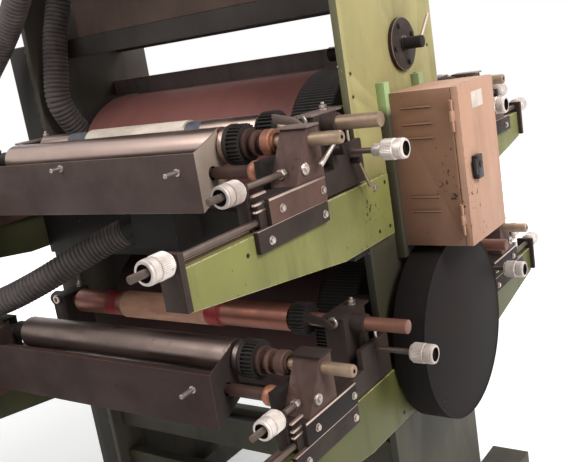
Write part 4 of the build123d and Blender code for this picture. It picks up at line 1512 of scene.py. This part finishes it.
        # A lower deck's anilox takes the darker steel: painted shade.
        body, hub = (ROLLER_STEEL, HUB_BRONZE) if self.deck.upper else (SHADED_LOWER_ROLLER, RUST_STEEL)
        mould.skin("anilox" + self.deck.tag,
                   (body, GEAR_STEEL, RUST_STEEL, hub, SHAFT_STEEL, GUM_STEEL, HOLLOW_SHADE))

    def fountain(self) -> None:
        """Turn the fountain roller with its journals and rounded hub."""
        node = "fountain_roller" + self.deck.tag
        low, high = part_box(node)
        mould = Mould()
        mould.spindle(Axis.X, self.fountain_axis, ((low.x, self.fountain_journal), *self.fountain_roll), 64)
        for finish, sides, profile in self.fountain_zones:
            mould.spindle(Axis.X, self.fountain_axis, profile, sides, finish)
        mould.spindle(Axis.X, self.fountain_axis, ((self.fountain_hub_end, self.fountain_journal),
                                                   (high.x, self.fountain_journal)), 32, 3)
        mould.spread([self.place])
        mould.skin(node, (INK_RUBBER, GUM_STEEL, HUB_BRONZE, SOOT_AND_SHADE_STEEL))

    def build(self) -> None:
        """Dress and complete the ink unit."""
        self.carriage()
        self.trough()
        self.anilox()
        self.fountain()


@dataclass
class ControlBox:
    """The control box with its louvres, strips, door, bare plate and latch."""

    louvres: tuple[float, ...] = (1.393, 1.351, 1.315, 1.162, 1.124)
    louvre_start: float = 0.632
    louvre_end: float = 0.715
    louvre_height: float = 0.004
    louvre_rise: float = 0.0016
    louvre_seat: float = 0.0004
    gap_rise: float = 0.0006
    gap_inset: float = 0.002
    hinge_reach: float = 0.006
    plate_low: tuple[float, float] = (-0.020, 1.370)
    plate_high: tuple[float, float] = (0.052, 1.411)
    plate_thickness: float = 0.0006
    grip_low: Point = (-0.010, -0.010, 0.012)
    grip_high: Point = (-0.001, 0.004, 0.052)
    lock_ends: tuple[float, float] = (-0.001, 0.003)
    lock_rise: float = 0.036
    lock_radius: float = 0.009

    def side(self) -> None:
        """Add the louvres on the box's front side in its shaded paint, each over a strip of painted shade for
        its gap.
        """
        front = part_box("control_box")[0].y + self.hinge_reach
        start, end, seat = self.louvre_start, self.louvre_end, front + self.louvre_seat
        mould = Mould()
        for z in self.louvres:
            mould.block((start, front - self.louvre_rise, z), (end, seat, z + self.louvre_height))
            # A thin dark strip under each louvre: painted shade for its gap.
            mould.block((start + self.gap_inset, front - self.gap_rise, z - self.louvre_rise),
                        (end - self.gap_inset, seat, z), 0.0002, 1)
        mould.piece("box_louvres", "control_box", (SHADED_BOX_FLANK, HOLLOW_SHADE))

    def front(self) -> None:
        """Add the bare plate on the door and the latch's grip and lock."""
        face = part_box("box_door")[1].x
        plate = Mould()
        plate.block((face, *self.plate_low), (face + self.plate_thickness, *self.plate_high), 0.0002)
        plate.piece("door_plate", "box_door", (BLANK_LABEL,))
        low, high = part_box("door_latch")
        corner = Vector((high.x, low.y, low.z))
        latch = Mould()
        latch.block(corner + Vector(self.grip_low), corner + Vector(self.grip_high), 0.002)
        latch.rod(Axis.X, *(high.x + end for end in self.lock_ends), self.lock_radius,
                  (0, (low.y + high.y) / 2, low.z + self.lock_rise), 24)
        latch.piece("latch_handle", "door_latch", (BLACK_PLASTIC,))

    def build(self) -> None:
        """Dress the box and add its fittings."""
        # The box's faces that look front or back take the darker paint: painted shade.
        dress("control_box", (*BOX_PAINT.worn(), SHADED_BOX_FLANK), 0.001,
              lambda middle, normal, finish: 2 if abs(normal.y) > 0.7 and not finish else finish)
        dress("box_door", BOX_PAINT.worn(), 0.002)
        dress("box_strips", (STRIP_PAINT, STRIP_PAINT), 0.001)
        dress("door_latch", (BLACK_PLASTIC, BLACK_PLASTIC), 0.002)
        self.side()
        self.front()


@dataclass
class DriveCover:
    """The round cover over the lower drum's drive."""

    rim_width: float = 0.006
    rim_depth: float = 0.003
    rim_round: float = 0.002
    rim_rise: float = 0.0015

    def build(self) -> None:
        """Dress the cover and add its rolled rim."""
        low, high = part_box("drum_cover")
        outer = (high.z - low.z) / 2
        inner = outer - self.rim_width
        back, front, top = high.x - self.rim_depth, high.x, high.x + self.rim_rise
        dress("drum_cover", COVER_PAINT.worn(), 0.003)
        mould = Mould()
        mould.turned(Axis.X, (low + high) / 2, ((back, inner), (front, inner), (top, inner + self.rim_round),
                                                (top, outer - self.rim_round), (front, outer), (back, outer),
                                                (back, inner)), 128)
        mould.piece("cover_rim", "drum_cover", (COVER_PAINT,))


@dataclass
class ThrowLever:
    """The bearing flange and the lever on its shaft."""

    bolt_circle: float = 0.053
    bolt_turns: tuple[float, ...] = (25.0, 115.0, 190.0, 290.0)
    bolt_head: tuple[float, float] = (0.006, 0.007)
    hub_radius: float = 0.017

    def build(self) -> None:
        """Dress the flange, add its bolts, and dress the lever: a sooty shaft and hub, a bright handle."""
        dress("bearing_flange", (DARK_STEEL, EDGE_STEEL))
        low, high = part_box("bearing_flange")
        middle = (low + high) / 2
        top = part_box("throw_lever")[1].z
        dress("throw_lever", (SOOT_AND_SHADE_STEEL, WAY_STEEL), 0.001,
              lambda place, normal, finish: 1 if middle.z + self.hub_radius < place.z < top else 0)
        bolts = Mould()
        for turn in map(math.radians, self.bolt_turns):
            centre = (0.0, middle.y + self.bolt_circle * math.cos(turn),
                      middle.z + self.bolt_circle * math.sin(turn))
            bolts.bolt(Axis.X, high.x, *self.bolt_head, centre)
        bolts.piece("flange_bolts", "bearing_flange", (GEAR_STEEL,))


@dataclass
class AirDucts:
    """The hood, the header and the dryer boxes."""

    paints: tuple = (("dryer_hood", DUCT_PAINT), ("air_header", DUCT_PAINT), ("dryer_boxes", DRYER_PAINT))

    def build(self) -> None:
        """Dress the sheet-metal ducts."""
        for node, paint in self.paints:
            dress(node, paint.worn(), 0.002)


@dataclass
class Hose:
    """A corrugated hose along its route."""

    name: str
    route: Sequence[Point]
    radius: float = 0.040
    pitch: float = 0.013
    groove: float = 0.0045
    sides: int = 28

    def line(self) -> list[Vector]:
        """Draw the smooth line that the route's points steer.

        Returns:
            Close-set points along it.
        """
        curve = bpy.data.curves.new(self.name + "_line", "CURVE")
        curve.dimensions = "3D"
        curve.resolution_u = 24
        spline = curve.splines.new("NURBS")
        spline.points.add(len(self.route) - 1)
        for point, place in zip(spline.points, self.route):
            point.co = (*place, 1.0)
        spline.order_u = 3
        spline.use_endpoint_u = True
        holder = bpy.data.objects.new(self.name + "_line", curve)
        bpy.context.scene.collection.objects.link(holder)
        mesh = bpy.data.meshes.new_from_object(holder)
        points = [vert.co.copy() for vert in mesh.vertices]
        bpy.data.objects.remove(holder)
        bpy.data.curves.remove(curve)
        bpy.data.meshes.remove(mesh)
        return points

    @staticmethod
    def evenly(points: Sequence[Vector], step: float) -> list[Vector]:
        """Points of a line at even distances.

        Args:
            points: the line's own points.
            step: about how far apart the new ones are.

        Returns:
            The new points, with both ends.
        """
        lengths = [0.0]
        for first, second in zip(points, points[1:]):
            lengths.append(lengths[-1] + (second - first).length)
        count = max(2, round(lengths[-1] / step))
        even = []
        index = 0
        for number in range(count + 1):
            target = lengths[-1] * number / count
            while index < len(points) - 2 and lengths[index + 1] < target:
                index += 1
            span = lengths[index + 1] - lengths[index]
            share = 0.0 if span == 0 else min(1.0, (target - lengths[index]) / span)
            even.append(points[index].lerp(points[index + 1], share))
        return even

    def build(self) -> None:
        path = self.evenly(self.line(), self.pitch / 4)
        heights = (self.radius - self.groove, self.radius - self.groove * 0.15, self.radius,
                   self.radius - self.groove * 0.15)
        mould = Mould()
        bm = mould.bm
        tangent = (path[1] - path[0]).normalized()
        upright = Vector((0, 0, 1)).rotation_difference(tangent).to_matrix().to_4x4()
        here = Matrix.Translation(path[0]) @ upright
        bmesh.ops.create_circle(bm, cap_ends=True, segments=self.sides, radius=heights[0], matrix=here)
        bmesh.ops.reverse_faces(bm, faces=bm.faces[:])
        edges = [edge for edge in bm.edges if edge.is_boundary]
        scale = heights[0]
        for number in range(1, len(path)):
            ahead = path[min(number + 1, len(path) - 1)] - path[number - 1]
            turn = tangent.rotation_difference(ahead.normalized()).to_matrix().to_4x4()
            tangent = ahead.normalized()
            size = heights[number % len(heights)] / scale
            scale = heights[number % len(heights)]
            raised = bmesh.ops.extrude_edge_only(bm, edges=edges)["geom"]
            ring = [part for part in raised if isinstance(part, bmesh.types.BMVert)]
            edges = [part for part in raised if isinstance(part, bmesh.types.BMEdge) and part.is_boundary]
            move = (Matrix.Translation(path[number]) @ turn @ Matrix.Scale(size, 4)
                    @ Matrix.Translation(-path[number - 1]))
            bmesh.ops.transform(bm, matrix=move, verts=ring)
        bmesh.ops.holes_fill(bm, edges=edges, sides=self.sides)
        bmesh.ops.recalc_face_normals(bm, faces=bm.faces[:])
        tube = mould.piece(self.name + "_tube", self.name, (HOSE_PLASTIC,), True)


HOSE_DROP = Hose("hose_drop", ((-0.505, -0.105, 1.960), (-0.504, -0.131, 1.865), (-0.505, -0.186, 1.738),
                               (-0.506, -0.214, 1.620), (-0.507, -0.230, 1.545), (-0.508, -0.208, 1.487),
                               (-0.508, -0.160, 1.420), (-0.509, -0.139, 1.330), (-0.508, -0.128, 1.225)))
HOSE_LOOP = Hose("hose_loop", ((-0.330, -0.372, 1.935), (-0.425, -0.364, 1.838), (-0.551, -0.345, 1.744),
                               (-0.704, -0.345, 1.632), (-0.832, -0.366, 1.486), (-0.906, -0.408, 1.314),
                               (-0.902, -0.466, 1.146), (-0.824, -0.532, 1.014), (-0.682, -0.592, 0.958),
                               (-0.515, -0.612, 0.982), (-0.370, -0.556, 1.036), (-0.262, -0.474, 1.094),
                               (-0.185, -0.420, 1.132), (-0.122, -0.395, 1.155)))


def main() -> None:
    """Build every piece of the press, from the studio to the hoses."""
    logging.basicConfig(level=logging.INFO, format="%(name)s: %(message)s")
    Studio().build()
    HOSE_DROP.build()
    HOSE_LOOP.build()
    Housing().build()
    Drums().build()
    DeckArms().build()
    for side in Side:
        for level in Level:
            deck = Deck(side, level)
            PlateCarriage(deck).build()
            PlateCylinder(deck).build()
            InkUnit(deck).build()
    ControlBox().build()
    DriveCover().build()
    ThrowLever().build()
    AirDucts().build()


if __name__ == "__main__":
    main()
